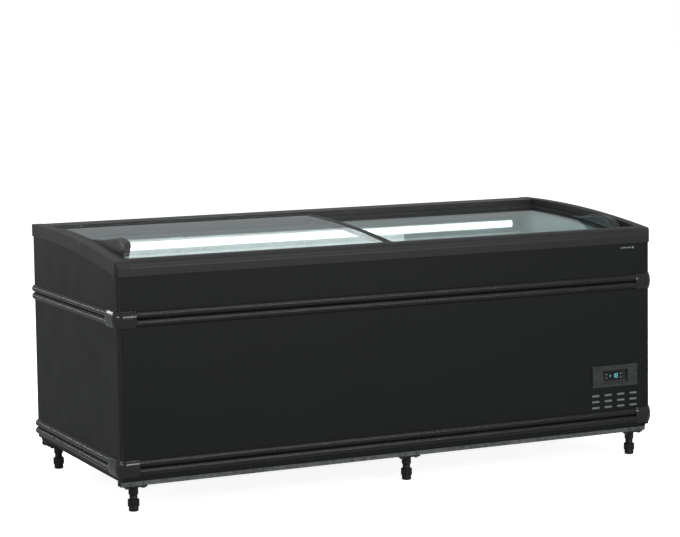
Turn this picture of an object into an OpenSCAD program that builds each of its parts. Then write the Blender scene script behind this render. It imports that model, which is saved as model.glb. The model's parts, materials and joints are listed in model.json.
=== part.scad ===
// Supermarket chest freezer with two curved glass lids that slide over each other.
// Millimetres, +Z up. The origin is on the floor, under the middle of the overall box.
// Every module is drawn in cabinet coordinates, X 0 to body_l from left to right,
// Y 0 to body_d from the front face to the back, and place() moves it to the origin.

/* [Cabinet] */
// Length over the side panels
body_l = 2000; // [1660:10:2400]
// Depth from the front panel to the rear panel
body_d = 860; // [710:10:1040]
// Height of the top rim at its highest line
top_h = 868; // [780:1:1045]
// Fall of the curved top from its highest line to the front face
top_sag = 54; // [45:1:65]
// Distance from the rear face to the highest line of the top
crown_back = 75; // [60:1:90]
// Thickness of the insulated walls
wall = 65; // [54:1:78]
// Joint between two slabs of foam
foam_joint = 0.2; // [0.1:0.05:0.5]
// Thickness of the painted steel sheets
sheet = 0.8; // [0.6:0.1:1.2]
// Thickness of the tank's lining
liner_t = 1; // [0.8:0.1:1.5]
// Height of the bottom edge of the painted panels over the base pan
panel_lift = 10; // [8:1:20]
// Radius of the cabinet's front corners
corner_r = 10; // [8:1:12]

/* [Top rails and end caps] */
// Height of the front rail's face
rail_face = 49; // [44:1:52]
// Radius of the front rail's upper edge
rail_round = 30; // [20:1:34]
// Width of the front rail's crest, from the cabinet's front face to the upper track
crest_w = 40; // [36:1:44]
// Width of the rear rail's flat top
rear_rail_w = 103.5; // [95:0.5:115]
// Height of the end caps' fascia at the back
fascia_h = 42; // [38:1:46]
// Length of the end caps' wrap round the front corners
cap_wrap = 42; // [34:1:50]
// Width of the end caps' rim, from the side panel inwards
rim_w = 30; // [26:1:36]
// Distance that the end caps stand out past the side panels
cap_out = 4; // [2:0.5:5]
// Distance that the rails stand out past the front and rear panels
rail_out = 3; // [2:0.5:4]

/* [Lids] */
// Thickness of the lids' glass
glass_t = 4; // [3:0.5:5]
// Depth of the upper lid's surface below the rim
lid_drop = 8; // [6:1:10]
// Height between the two lids
lid_pitch = 17; // [16:1:20]
// Width of a runner that slides in a track
runner_w = 18; // [14:1:20]
// Height of a runner, from the glass surface to the sliding face
runner_h = 12; // [11:0.5:12.5]
// Distance between the two tracks across the rail
track_pitch = 23; // [21:1:27]
// Width of the frame at each lid's outer end
end_frame_w = 28; // [24:1:34]
// Width of the seal bar at each lid's inner end
seal_bar_w = 25; // [20:1:30]
// Overlap of the two closed lids
lid_lap = 25; // [20:1:40]
// Height of a handle above its lid
handle_h = 43; // [36:1:48]
// Width of a handle at its foot
handle_w = 19; // [16:1:24]
// Length of a handle along the lid's end
handle_l = 300; // [250:5:340]
// Distance that a handle's top leans in over the glass
handle_lean = 19; // [10:1:24]

/* [Bumpers] */
// Height of a bumper strip
bumper_h = 53; // [46:1:60]
// Height of the lower bumper's bottom edge
low_bumper_z = 122; // [120:1:135]
// Height of the upper bumper's bottom edge
mid_bumper_z = 601; // [500:1:635]
// Radius of a bumper bead
bead_r = 13.25; // [11:0.25:13.25]
// Distance that a corner cap stands out
cap_bulge = 12; // [11:1:15]
// Length of a corner cap along the front
cap_front = 62; // [50:1:74]
// Radius of the bend in a corner cap's back
cap_bend = 22; // [18:1:26]
// Length of a corner cap along the side
cap_side = 90; // [70:1:110]

/* [Base] */
// Height of the base rails over the floor
leg_h = 86; // [80:1:104]
// Height of the base rails
base_rail_h = 16; // [14:1:20]
// Width of the base rails
base_rail_w = 30; // [30:1:36]
// Distance of the outer legs from the ends
leg_inset = 57; // [46:1:80]
// Distance of the legs from the front and rear faces
leg_y = 46; // [45:1:60]
// Offset of the middle legs from the middle of the length
mid_leg_shift = 45; // [0:1:80]
// Diameter of the leg socket
socket_d = 32; // [27:1:40]
// Diameter of the foot's threaded stem
stem_d = 12; // [10:0.5:16]
// Diameter of the foot's collar
collar_d = 38; // [32:1:46]

/* [Machine bay and controller] */
// Length of the machine bay at the right-hand end
bay_l = 360; // [350:5:430]
// Height of the machine bay's ceiling
bay_top = 351; // [340:1:380]
// Length of the controller bezel
bezel_l = 185; // [160:1:200]
// Height of the controller bezel
bezel_h = 76; // [70:1:86]
// Height of the bezel's middle
bezel_z = 297; // [285:1:305]
// Distance of the bezel's middle from the right-hand end
bezel_in = 146; // [130:1:160]
// Length of a vent slot
slot_l = 34; // [24:1:40]
// Height of a vent slot
slot_h = 8; // [5:1:10]

/* [Hidden] */

$fn = 64;
big_fn = 720;
eps = 0.2;
gap = 0.3;

// Overall box and origin
rear_out = 2;
mid_y = (body_d + rear_out - cap_bulge) / 2;

// Curved top
crown_y = body_d - crown_back;
top_r = (crown_y * crown_y + top_sag * top_sag) / (2 * top_sag);
front_z0 = top_h - top_sag - rail_face;
fascia_sag = top_h - fascia_h - front_z0;
fascia_r = (crown_y * crown_y + fascia_sag * fascia_sag) / (2 * fascia_sag);
// Height of the rim at a depth y, less a drop
function rim_z(y, drop = 0) = top_h - drop - top_r + sqrt(top_r * top_r - (crown_y - y) * (crown_y - y));

// Lids and their tracks
upper_drop = lid_drop;
lower_drop = lid_drop + lid_pitch;
slide_gap = 0.8;
track_gap = 1;
upper_front_y = crest_w + track_gap;
lower_front_y = upper_front_y + track_pitch;
rear_rail_y = body_d - rear_rail_w;
upper_rear_y = rear_rail_y - track_gap - 0.5;
lower_rear_y = upper_rear_y - track_pitch;
lid_x0 = rim_w + 2;
lid_x1 = body_l / 2 + lid_lap / 2;
glass_bite = 8;
frame_hang = 5;
hang_room = 12;
bar_proud = 1;
// Height of a runner's sliding face whose outer edge is at y
function slide_z(y, drop) = rim_z(y, drop) - runner_h;
front_upper_ledge = slide_z(upper_front_y, upper_drop) - slide_gap;
front_lower_ledge = slide_z(lower_front_y, lower_drop) - slide_gap;
rear_upper_ledge = slide_z(upper_rear_y, upper_drop) - slide_gap;
rear_lower_ledge = slide_z(lower_rear_y, lower_drop) - slide_gap;
rail_lap = 12;
panel_groove = 1.5;

// Cabinet levels
base_z = leg_h + base_rail_h;
panel_z0 = base_z + panel_lift;
pan_t = 1;
pan_rim = 28;
foam_z0 = base_z + pan_rim + pan_t;
floor_z = base_z + wall - 2;
tank_in = wall + liner_t;
rear_rail_z0 = top_h - 48;
wall_top_drop = 48.5;
front_wall_top = front_z0 - 0.5;

// Machine bay
bay_x = body_l - bay_l;
step_x = bay_x - wall + 16;
step_z = bay_top + wall - 5;
bay_mid_x = body_l - 175;
fan_z = base_z + 81;
condenser_h = 150;
condenser_l = 270;
condenser_y = 50;
condenser_d = 40;
condenser_x = body_l - 310;
shroud_y = condenser_y + condenser_d + 5;
compressor_y = body_d / 2;
compressor_r = 75;
pipe_d = 8;
coil_r = 4;
coil_offset = 6.6;
coil_bend = 12;
coil_loops = 7;
coil_z0 = floor_z + 45;
coil_pitch = (front_wall_top - 65 - coil_z0) / (coil_loops - 1);
coil_gap_x = body_l / 2;
coil_gap = 20;
stub_y = body_d / 2 - 130;

// Controller
bezel_x = body_l - bezel_in;
bezel_t = 4;
case_l = 77;
case_h = 33;
pocket_l = 106;
case_z = bezel_z - 1;
case_y = 8;
key_l = 12;
key_h = 8;
key_clear = 0.3;
key_dx = 29.5;
key_dz = 6.5;
key_proud = 1.2;
screw_dx = bezel_l / 2 - 10;

// Legs
leg_xs = [leg_inset, body_l / 2 + mid_leg_shift, body_l - leg_inset];
leg_ys = [leg_y, body_d - leg_y];
plate_l = 75;
plate_w = 62;
plate_t = 4;
bolt_dx = 28;
bolt_dy = 19;
bolt_d = 8;
foot_base_d = 32;
foot_base_h = 16;
collar_h = 25;
neck_d = 26;
neck_gap = 2;
socket_l = 26;
socket_z0 = leg_h - plate_t - socket_l;
stem_clear = 0.075;

module place() { translate([-body_l / 2, -mid_y, 0]) children(); }
module mirrored() { translate([body_l, 0, 0]) mirror([1, 0, 0]) children(); }
// Extrudes a (Y, Z) outline along X
module along_x(x0, x1) {
    translate([x0, 0, 0]) rotate([90, 0, 90]) linear_extrude(x1 - x0) children();
}
// Extrudes an (X, Z) outline along Y
module along_y(y0, y1) {
    translate([0, y1, 0]) rotate([90, 0, 0]) linear_extrude(y1 - y0) children();
}
module box(x0, y0, z0, x1, y1, z1) { translate([x0, y0, z0]) cube([x1 - x0, y1 - y0, z1 - z0]); }
module rect(x0, y0, x1, y1) { translate([x0, y0]) square([x1 - x0, y1 - y0]); }
module rod(p, d, h) { translate(p) cylinder(d = d, h = h); }
module rod_x(p, d, h) { translate(p) rotate([0, 90, 0]) cylinder(d = d, h = h); }
module rod_y(p, d, h) { translate(p) rotate([-90, 0, 0]) cylinder(d = d, h = h); }

// (Y, Z) region from z0 up to the rim's curve less a drop
module under_rim(y0, y1, z0, drop) {
    intersection() {
        rect(y0, z0, y1, top_h + 50);
        translate([crown_y, top_h - drop - top_r]) circle(r = top_r, $fn = big_fn);
    }
}
// (Y, Z) band that follows the rim's curve between two drops
module rim_band(y0, y1, drop0, drop1) {
    difference() {
        under_rim(y0, y1, front_z0 - 120, drop0);
        translate([crown_y, top_h - drop1 - top_r]) circle(r = top_r, $fn = big_fn);
    }
}
// (Y, Z) region above the fascia's lower curve, raised by a lift
module over_fascia(y0, y1, lift) {
    difference() {
        rect(y0, front_z0 - 60, y1, top_h + 50);
        translate([crown_y, top_h - fascia_h + lift - fascia_r]) circle(r = fascia_r, $fn = big_fn);
    }
}
// Spandrel that, taken away, rounds the corner at the origin of the quadrant +X +Y
module spandrel(r) {
    difference() {
        translate([-1, -1]) square(r + 1);
        translate([r, r]) circle(r = r);
    }
}

// ---------------------------------------------------------------- cabinet
module vent_slot(x, z) {
    rect(x - slot_l / 2 + slot_h / 2, z - slot_h / 2, x + slot_l / 2 - slot_h / 2, z + slot_h / 2);
    for (side = [-1, 1])
        translate([x + side * (slot_l - slot_h) / 2, z]) circle(d = slot_h);
}
slot_pitch_x = bezel_l * 0.28;
slot_pitch_z = 21.2;
slot_top_z = bezel_z - bezel_h / 2 - 29;

module front_panel() {
    color("#202222") place() along_y(0, sheet) difference() {
        rect(corner_r + 2, panel_z0, body_l - corner_r - 2, front_z0 + rail_lap - 1);
        rect(bezel_x - pocket_l / 2 - 5, case_z - 37, bezel_x + pocket_l / 2 + 5, case_z + 27);
        for (side = [-1, 1]) translate([bezel_x + side * screw_dx, bezel_z]) circle(d = 4);
        for (column = [-1.5:1:1.5], row = [0:2])
            vent_slot(bezel_x + column * slot_pitch_x, slot_top_z - row * slot_pitch_z);
    }
}
module side_sheet() {
    along_x(0, sheet) difference() {
        rect(corner_r + 2, panel_z0, body_d - sheet, top_h);
        over_fascia(0, body_d, rail_lap - 1);
    }
}
module left_side_panel() { color("#262626") place() side_sheet(); }
module right_side_panel() { color("#262626") place() mirrored() side_sheet(); }

grille_x0 = bay_x + 20;
grille_x1 = body_l - 50;
grille_z0 = base_z + 34;
grille_z1 = bay_top - 20;
gland_x = grille_x0 - 60;
gland_z = grille_z0 + 30;
gland_d = 20;
module rear_panel() {
    color("#262626") place() along_y(body_d - sheet, body_d) difference() {
        rect(0, panel_z0, body_l, rear_rail_z0 + rail_lap - 2);
        rect(grille_x0, grille_z0, grille_x1, grille_z1);
        translate([gland_x, gland_z]) circle(d = gland_d + 0.4);
    }
}
grille_slats = 9;
module rear_grille() {
    slat_pitch = (grille_z1 - grille_z0 - 20) / grille_slats;
    color("#303030") place() {
        difference() {
            box(grille_x0 + gap, body_d - 3, grille_z0 + gap, grille_x1 - gap, body_d + 1, grille_z1 - gap);
            for (row = [0:grille_slats - 1], column = [0:2])
                box(grille_x0 + 12 + column * (grille_x1 - grille_x0 - 24) / 3 + 3, body_d - 4,
                    grille_z0 + 12 + row * slat_pitch,
                    grille_x0 + 12 + (column + 1) * (grille_x1 - grille_x0 - 24) / 3 - 3, body_d + 2,
                    grille_z0 + 12 + row * slat_pitch + slat_pitch * 0.55);
        }
    }
}
// Rounded angle that closes a front corner
module corner_trim() {
    leg = corner_r + 0.8;
    skin = 1.4;
    translate([0, 0, panel_z0]) linear_extrude(front_z0 + rail_lap - 2 - panel_z0) difference() {
        square(leg);
        spandrel(corner_r);
        translate([skin, skin]) difference() {
            square(leg);
            spandrel(corner_r - skin);
        }
    }
}
module corner_trims() {
    color("#2c2c2c") place() {
        corner_trim();
        mirrored() corner_trim();
    }
}
drain_x = 130;
drain_d = 24;
pan_in = 8;
pan_front = 14;
module base_pan() {
    color("#3a3c3c") place() difference() {
        union() {
            difference() {
                box(pan_in, pan_front, base_z, body_l - pan_in, body_d - pan_in, base_z + pan_rim);
                box(pan_in + pan_t, pan_front + pan_t, base_z + pan_t,
                    body_l - pan_in - pan_t, body_d - pan_in - pan_t, base_z + pan_rim + 1);
            }
            difference() {
                box(sheet + 0.2, sheet + 0.2, base_z + pan_rim - pan_t,
                    body_l - sheet - 0.2, body_d - sheet - 0.2, base_z + pan_rim);
                box(pan_in + pan_t / 2, pan_front + pan_t / 2, base_z + pan_rim - 5,
                    body_l - pan_in - pan_t / 2, body_d - pan_in - pan_t / 2, base_z + pan_rim + 1);
                for (x = [0, body_l - corner_r - 3])
                    box(x, 0, base_z, x + corner_r + 3, corner_r + 3, base_z + pan_rim + 1);
            }
        }
        rod([drain_x, body_d / 2, base_z - 1], drain_d + 0.4, pan_rim);
    }
}
// (X, Z) outline of the tank with its step over the machine bay, grown by g
module tank_outline(g, z_top) {
    polygon([[tank_in - g, floor_z + liner_t - g], [step_x + g, floor_z + liner_t - g],
        [step_x + g, step_z + liner_t - g], [body_l - tank_in + g, step_z + liner_t - g],
        [body_l - tank_in + g, z_top], [tank_in - g, z_top]]);
}
// Everything that may stand below the rails and the end caps' floors
module wall_top_limit(x0, x1) {
    along_x(x0, x1) {
        under_rim(lower_front_y + track_pitch + 2, body_d, base_z, wall_top_drop);
        rect(0, base_z, lower_front_y + track_pitch + 3, front_wall_top);
    }
}
module tank_liner() {
    color("#dfe3e2") place() difference() {
        intersection() {
            difference() {
                along_y(wall, body_d - wall) tank_outline(liner_t, top_h);
                along_y(tank_in, body_d - tank_in) tank_outline(0, top_h + 1);
            }
            wall_top_limit(0, body_l);
        }
        rod([drain_x, body_d / 2, floor_z - 1], drain_d + 0.4, liner_t + 2);
    }
}
function loop_z(i) = coil_z0 + i * coil_pitch;
function loop_x1(i) = (loop_z(i) < step_z + 20 ? step_x : body_l - tank_in) + liner_t + coil_offset;
coil_x0 = wall - coil_offset;
coil_y0 = wall - coil_offset;
coil_y1 = body_d - wall + coil_offset;
module foam_insulation() {
    skin = sheet + 0.2;
    groove = coil_offset + coil_r + 1;
    color("#d8cf9a") place() difference() {
        intersection() {
            union() {
                box(skin, skin, foam_z0, body_l - skin, body_d - skin, top_h);
                box(pan_in + pan_t + 1, pan_front + pan_t + 1, base_z + pan_t, bay_x,
                    body_d - pan_in - pan_t - 1, foam_z0 + 1);
            }
            wall_top_limit(0, body_l);
        }
        along_y(wall, body_d - wall) tank_outline(liner_t, top_h + 1);
        box(bay_x, 0, 0, body_l, body_d, bay_top);
        for (x = [0, body_l - corner_r - 3]) box(x, 0, 0, x + corner_r + 3, corner_r + 3, top_h);
        for (i = [0:coil_loops - 1])
            box(wall - groove, wall - groove, loop_z(i) - coil_r - 0.5,
                loop_x1(i) - coil_offset + groove, body_d - wall + groove, loop_z(i) + coil_r + 0.5);
        box(coil_gap_x - coil_gap - 20, body_d - wall - 1, coil_z0,
            coil_gap_x + coil_gap + 20, body_d - wall + groove, loop_z(coil_loops - 1));
        rod_x([step_x, stub_y, coil_z0], pipe_d + 1, wall + 40);
        rod([drain_x, body_d / 2, base_z], drain_d + 0.4, wall);
        rod_y([gland_x, body_d - 60, gland_z], gland_d + 8, 70);
        foam_joints();
    }
}

// The foam stands as flat slabs, one to each wall and floor of the tank
module foam_joints() {
    j = foam_joint;
    step_face = step_x + liner_t;
    box(0, wall - j, 0, body_l, wall, top_h);
    box(0, body_d - wall, 0, body_l, body_d - wall + j, top_h);
    box(wall - j, wall - j, 0, wall, body_d - wall + j, floor_z + 1);
    box(body_l - wall, wall - j, 0, body_l - wall + j, body_d - wall + j, step_z + 1);
    box(step_face - 1, wall - j, floor_z - j, bay_x + 1, body_d - wall + j, floor_z);
    box(step_face - 1, wall - j, bay_top - j, bay_x + 1, body_d - wall + j, bay_top);
    for (y = [0, body_d - wall]) box(bay_x, y, bay_top - 1, bay_x + j, y + wall, top_h);
}
module bend(p, turn) {
    translate(p) rotate([0, 0, turn]) rotate_extrude(angle = 90)
        translate([coil_bend, 0]) circle(r = coil_r, $fn = 32);
}
// One turn round the tank, open at the back
module coil_loop(z, x1) {
    b = coil_bend;
    rod_x([coil_x0 + b, coil_y0, z], 2 * coil_r, x1 - coil_x0 - 2 * b);
    rod_y([coil_x0, coil_y0 + b, z], 2 * coil_r, coil_y1 - coil_y0 - 2 * b);
    rod_y([x1, coil_y0 + b, z], 2 * coil_r, coil_y1 - coil_y0 - 2 * b);
    rod_x([coil_x0 + b, coil_y1, z], 2 * coil_r, coil_gap_x - coil_gap - coil_x0 - b);
    rod_x([coil_gap_x + coil_gap, coil_y1, z], 2 * coil_r, x1 - b - coil_gap_x - coil_gap);
    bend([coil_x0 + b, coil_y0 + b, z], 180);
    bend([x1 - b, coil_y0 + b, z], 270);
    bend([x1 - b, coil_y1 - b, z], 0);
    bend([coil_x0 + b, coil_y1 - b, z], 90);
}
module evaporator_coil() {
    color("#c08a52") place() {
        for (i = [0:coil_loops - 1]) coil_loop(loop_z(i), loop_x1(i));
        for (i = [0:coil_loops - 2]) {
            side = i % 2 == 0 ? 1 : -1;
            rod([coil_gap_x + side * coil_gap, coil_y1, loop_z(i)], 2 * coil_r, coil_pitch);
            for (z = [loop_z(i), loop_z(i + 1)])
                translate([coil_gap_x + side * coil_gap, coil_y1, z]) sphere(r = coil_r);
        }
        rod_x([loop_x1(0), stub_y, coil_z0], 2 * coil_r, bay_x + 15 - loop_x1(0));
    }
}
module machine_bay_cover() {
    color("#9aa0a0") place() difference() {
        along_y(sheet + 0.5, body_d - sheet - 0.5) polygon([[bay_x, base_z + pan_rim + 1],
            [bay_x, bay_top], [body_l - sheet - 0.5, bay_top], [body_l - sheet - 0.5, bay_top - 1],
            [bay_x + 1, bay_top - 1], [bay_x + 1, base_z + pan_rim + 1]]);
        rod_x([bay_x - 1, stub_y, coil_z0], pipe_d + 1, 4);
        for (x = [body_l - corner_r - 3]) box(x, 0, 0, body_l, corner_r + 3, top_h);
    }
}

// ---------------------------------------------------------------- top rails and end caps
crest_z = rim_z(crest_w);
ledge_end_y = lower_front_y + track_pitch + 1;
step_y = upper_front_y + runner_w + 3.5;
module front_rail_outline() {
    skin = 3;
    difference() {
        union() {
            rect(-rail_out, front_z0, crest_w, crest_z);
            rect(crest_w - 1, front_z0, step_y, front_upper_ledge);
            rect(step_y - 1, front_z0, tank_in, front_lower_ledge);
            rect(step_y - 1, front_z0 + 6, ledge_end_y, front_lower_ledge);
        }
        translate([-rail_out, crest_z]) mirror([0, 1]) spandrel(rail_round);
        rect(-gap, front_z0 - 1, panel_groove, front_z0 + rail_lap);
        difference() {
            rect(4, front_z0 + rail_lap + skin, crest_w - skin, crest_z - skin);
            translate([skin - rail_out, crest_z - skin]) mirror([0, 1]) spandrel(rail_round - skin);
        }
        rect(4, front_z0 + skin, tank_in - skin, front_z0 + rail_lap);
    }
}
module front_top_rail() {
    color("#353535") place() along_x(cap_wrap + gap, body_l - cap_wrap - gap) front_rail_outline();
}
module rear_top_rail() {
    skin = 3;
    rail_top = top_h - 1;
    edge_r = 6;
    color("#363636") place() along_x(rim_w + gap, body_l - rim_w - gap) difference() {
        union() {
            rect(rear_rail_y, rear_rail_z0, body_d + rear_out, rail_top);
            rect(rear_rail_y - track_pitch, rear_rail_z0, rear_rail_y + 1, rear_upper_ledge);
            rect(rear_rail_y - 2 * track_pitch - 1, rear_rail_z0, rear_rail_y, rear_lower_ledge);
        }
        translate([body_d + rear_out, rail_top]) mirror([1, 0]) mirror([0, 1]) spandrel(edge_r);
        rect(body_d - panel_groove, rear_rail_z0 - 1, body_d + gap, rear_rail_z0 + rail_lap);
        rect(rear_rail_y + skin, rear_rail_z0 + rail_lap + skin, body_d - 4, rail_top - skin);
        rect(rear_rail_y - track_pitch + skin, rear_rail_z0 + skin, body_d - 4, rear_rail_z0 + rail_lap);
    }
}
// Left-hand end cap: curved fascia and rim, the wrap round the front corner and the floor
module end_cap() {
    floor_t = 6;
    floor_drop = lower_drop + glass_t + hang_room;
    inner_x = tank_in;
    difference() {
        union() {
            along_x(-cap_out, -gap) intersection() {
                under_rim(-rail_out, body_d + rear_out, front_z0 - 5, 0);
                over_fascia(-rail_out - 1, body_d + rear_out + 1, 0);
            }
            along_x(-gap - eps, rim_w) intersection() {
                under_rim(-rail_out, body_d + rear_out, front_z0 - 5, 0);
                over_fascia(-rail_out - 1, body_d + rear_out + 1, rail_lap);
            }
            along_x(-cap_out, cap_wrap) front_rail_skirt();
            along_x(rim_w - 1, cap_wrap) front_rail_outline();
            along_x(rim_w - 3, cap_wrap)
                rim_band(ledge_end_y - 1, rear_rail_y - 2 * track_pitch - 2, floor_drop, floor_drop + floor_t);
            along_x(cap_wrap - 1, inner_x) rim_band(ledge_end_y + gap,
                rear_rail_y - 2 * track_pitch - 2, floor_drop, floor_drop + floor_t);
            along_x(rim_w - 3, rim_w)
                rim_band(ledge_end_y - 1, rear_rail_y - 2 * track_pitch - 2, 1, floor_drop + floor_t);
        }
        along_x(3, rim_w - 3) rim_band(crest_w + 10, body_d - 12, 3, 60);
        along_x(-cap_out - 1, rim_w) translate([-rail_out, crest_z]) mirror([0, 1]) spandrel(rail_round);
        translate([-cap_out, -rail_out, front_z0 - 10]) linear_extrude(top_h) spandrel(corner_r + rail_out);
    }
}
// Outer skin of the wrap, which laps over the front panel and the corner trim
module front_rail_skirt() {
    rect(-rail_out, front_z0, -gap, front_z0 + rail_lap + 1);
}
module left_end_cap() { color("#3a3a3a") place() end_cap(); }
module right_end_cap() { color("#3a3a3a") place() mirrored() end_cap(); }
breaker_t = 2.8;
breaker_h = 24;
module breaker_frame() {
    inner = tank_in + gap + breaker_t;
    z0 = front_wall_top - breaker_h;
    color("#8fa5a3") place() intersection() {
        difference() {
            box(tank_in + gap, tank_in + gap, z0, body_l - tank_in - gap, body_d - tank_in - gap, top_h);
            box(inner, inner, z0 - 1, body_l - inner, body_d - inner, top_h + 1);
        }
        along_x(0, body_l) {
            under_rim(ledge_end_y + 1, body_d, z0 - 1, wall_top_drop);
            rect(0, z0 - 1, ledge_end_y + 2, front_z0 + 5.5);
        }
    }
}

// ---------------------------------------------------------------- bumpers
// Distance of the beads' middle behind the panel
bead_in = 2.75;
// Outline of a bumper, outward distance against height, with two hollow beads
module bumper_outline() {
    centre = bumper_h / 4;
    difference() {
        union() {
            rect(0, 0, 2.5, bumper_h);
            intersection() {
                rect(0, 0, 2 * bead_r, bumper_h);
                for (k = [1, 3]) translate([-bead_in, k * centre]) circle(r = bead_r);
            }
        }
        for (k = [1, 3]) intersection() {
            translate([-bead_in, k * centre]) circle(r = bead_r - 2.5);
            rect(2.5, 0, 2 * bead_r, bumper_h);
        }
    }
}
module front_strip(z) {
    translate([cap_front + gap, 0, z]) rotate([90, 0, 90])
        linear_extrude(body_l - 2 * cap_front - 2 * gap) mirror([1, 0]) bumper_outline();
}
module side_strip(z) {
    translate([0, body_d - 1, z]) rotate([90, 0, 0])
        linear_extrude(body_d - 1 - cap_side - gap) mirror([1, 0]) bumper_outline();
}
module front_bumpers() {
    color("#2b2b2b") place() for (z = [low_bumper_z, mid_bumper_z]) front_strip(z);
}
module side_bumpers() {
    color("#2b2b2b") place() for (z = [low_bumper_z, mid_bumper_z]) {
        side_strip(z);
        mirrored() side_strip(z);
    }
}
cap_half = bumper_h / 2 + 1.5;
cap_edge = 6.5;
cap_soft = 3.2;
cap_r = (cap_half * cap_half + pow(cap_bulge - cap_edge, 2)) / (2 * (cap_bulge - cap_edge));
function cap_depth(h) = cap_bulge - cap_r + sqrt(cap_r * cap_r - h * h);
// Outline of a corner cap: a shallow bulge with soft edges, less a skin s
module bulge_outline(s) {
    top = cap_half - s;
    edge = cap_depth(top) - s;
    translate([0, bumper_h / 2]) polygon(concat(
        [[0, -top], [edge - cap_soft, -top], [edge - cap_soft * 0.3, -top + cap_soft * 0.3]],
        [for (i = [-4:4]) [cap_depth(i / 4 * (top - cap_soft)) - s, i / 4 * (top - cap_soft)]],
        [[edge - cap_soft * 0.3, top - cap_soft * 0.3], [edge - cap_soft, top], [0, top]]));
}
// Left-hand corner cap, along the front, round the corner and along the side
module corner_sweep(s) {
    translate([cap_bend, 0, 0]) rotate([90, 0, 90])
        linear_extrude(cap_front - cap_bend - s) mirror([1, 0]) bulge_outline(s);
    translate([0, cap_side - s, 0]) rotate([90, 0, 0])
        linear_extrude(cap_side - cap_bend - s) mirror([1, 0]) bulge_outline(s);
    translate([cap_bend, cap_bend, 0]) rotate([0, 0, 180]) rotate_extrude(angle = 90)
        translate([cap_bend, 0]) bulge_outline(s);
}
module corner_cap(z) {
    translate([0, 0, z]) difference() {
        corner_sweep(0);
        corner_sweep(2.5);
        translate([-0.1, -0.1, -5]) linear_extrude(bumper_h + 10) difference() {
            square(cap_side + 20);
            spandrel(corner_r);
        }
    }
}
module bumper_corner_caps() {
    color("#3a3a3a") place() for (z = [low_bumper_z, mid_bumper_z]) {
        corner_cap(z);
        mirrored() corner_cap(z);
    }
}

// ---------------------------------------------------------------- lamp
lamp_in = 110;
lamp_z0 = rear_rail_z0 - 63;
lamp_h = 35;
lamp_d = 15;
lamp_back = body_d - tank_in - gap - breaker_t;
module led_housing() {
    color("#b9bfbe") place() difference() {
        box(lamp_in, lamp_back - lamp_d, lamp_z0, body_l - lamp_in, lamp_back, lamp_z0 + lamp_h);
        box(lamp_in + 3, lamp_back - lamp_d - 1, lamp_z0 + 4,
            body_l - lamp_in - 3, lamp_back - 6, lamp_z0 + lamp_h - 5);
    }
}
module led_diffuser() {
    color("#f4fbff") place() difference() {
        box(lamp_in + 3 + gap, lamp_back - lamp_d - 4, lamp_z0 + 4 + gap,
            body_l - lamp_in - 3 - gap, lamp_back - 8, lamp_z0 + lamp_h - 5 - gap);
        box(lamp_in + 7, lamp_back - lamp_d - 1.5, lamp_z0 + 7,
            body_l - lamp_in - 7, lamp_back - 7, lamp_z0 + lamp_h - 8);
    }
}

// ---------------------------------------------------------------- base and legs
module at_bolts() {
    for (dx = [-bolt_dx, bolt_dx], dy = [-bolt_dy, bolt_dy]) translate([dx, dy, 0]) children();
}
module at_legs() {
    for (x = leg_xs, y = leg_ys) translate([x, y, 0]) children();
}
rail_skin = 2;
module base_rail_outline() {
    lip = 12;
    difference() {
        rect(0, leg_h, base_rail_w, base_z);
        rect(rail_skin, leg_h + rail_skin, base_rail_w - rail_skin, base_z - rail_skin);
        rect(lip, leg_h - 1, base_rail_w - lip, leg_h + 3);
    }
}
rail_y = leg_y - bolt_dy - 7;
module base_rails() {
    color("#6d7070") place() difference() {
        union() {
            along_x(6, body_l - 6) translate([rail_y, 0]) base_rail_outline();
            along_x(6, body_l - 6) translate([body_d - rail_y - base_rail_w, 0]) base_rail_outline();
        }
        at_legs() at_bolts() rod([0, 0, leg_h - 1], bolt_d + 0.4, 4);
    }
}
bracket_y0 = rail_y + base_rail_w + gap;
bracket_y1 = leg_y + bolt_dy + 14;
module leg_bracket() {
    half = bolt_dx + 8;
    difference() {
        box(-half, bracket_y0, leg_h, half, bracket_y1, base_z);
        box(-half + rail_skin, bracket_y0 + rail_skin, leg_h + rail_skin,
            half - rail_skin, bracket_y1 - rail_skin, base_z + 1);
        for (dx = [-bolt_dx, bolt_dx]) rod([dx, leg_y + bolt_dy, leg_h - 1], bolt_d + 0.4, 5);
    }
}
module leg_brackets() {
    color("#1f1f1f") place() for (x = leg_xs) {
        translate([x, 0, 0]) leg_bracket();
        translate([x, body_d, 0]) mirror([0, 1, 0]) leg_bracket();
    }
}
module leg_sockets() {
    color("#1e1e1e") place() at_legs() difference() {
        union() {
            box(-plate_l / 2, -plate_w / 2, leg_h - plate_t, plate_l / 2, plate_w / 2, leg_h);
            rod([0, 0, socket_z0], socket_d, socket_l + 1);
        }
        rod([0, 0, socket_z0 - 1], stem_d + 2 * stem_clear, socket_l + plate_t);
        at_bolts() rod([0, 0, leg_h - plate_t - 1], bolt_d + 0.4, plate_t + 2);
    }
}
bolt_head_h = 4.5;
module leg_bolts() {
    color("#4c4e4e") place() at_legs() at_bolts() {
        translate([0, 0, leg_h - plate_t - bolt_head_h])
            cylinder(d = 14, h = bolt_head_h, $fn = 6);
        rod([0, 0, leg_h - plate_t - 0.5], bolt_d, plate_t + 6);
    }
}
module foot(x, y) {
    color("#1c1c1c") place() translate([x, y, 0]) {
        collar_top = foot_base_h + collar_h;
        rod([0, 0, 0], foot_base_d, foot_base_h + 1);
        rod([0, 0, foot_base_h], collar_d, collar_h);
        rod([0, 0, collar_top - 1], neck_d, socket_z0 - neck_gap - collar_top + 1);
        rod([0, 0, collar_top], stem_d, leg_h - 6 - collar_top);
    }
}
module foot_front_left() { foot(leg_xs[0], leg_ys[0]); }
module foot_front_middle() { foot(leg_xs[1], leg_ys[0]); }
module foot_front_right() { foot(leg_xs[2], leg_ys[0]); }
module foot_rear_left() { foot(leg_xs[0], leg_ys[1]); }
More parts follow.
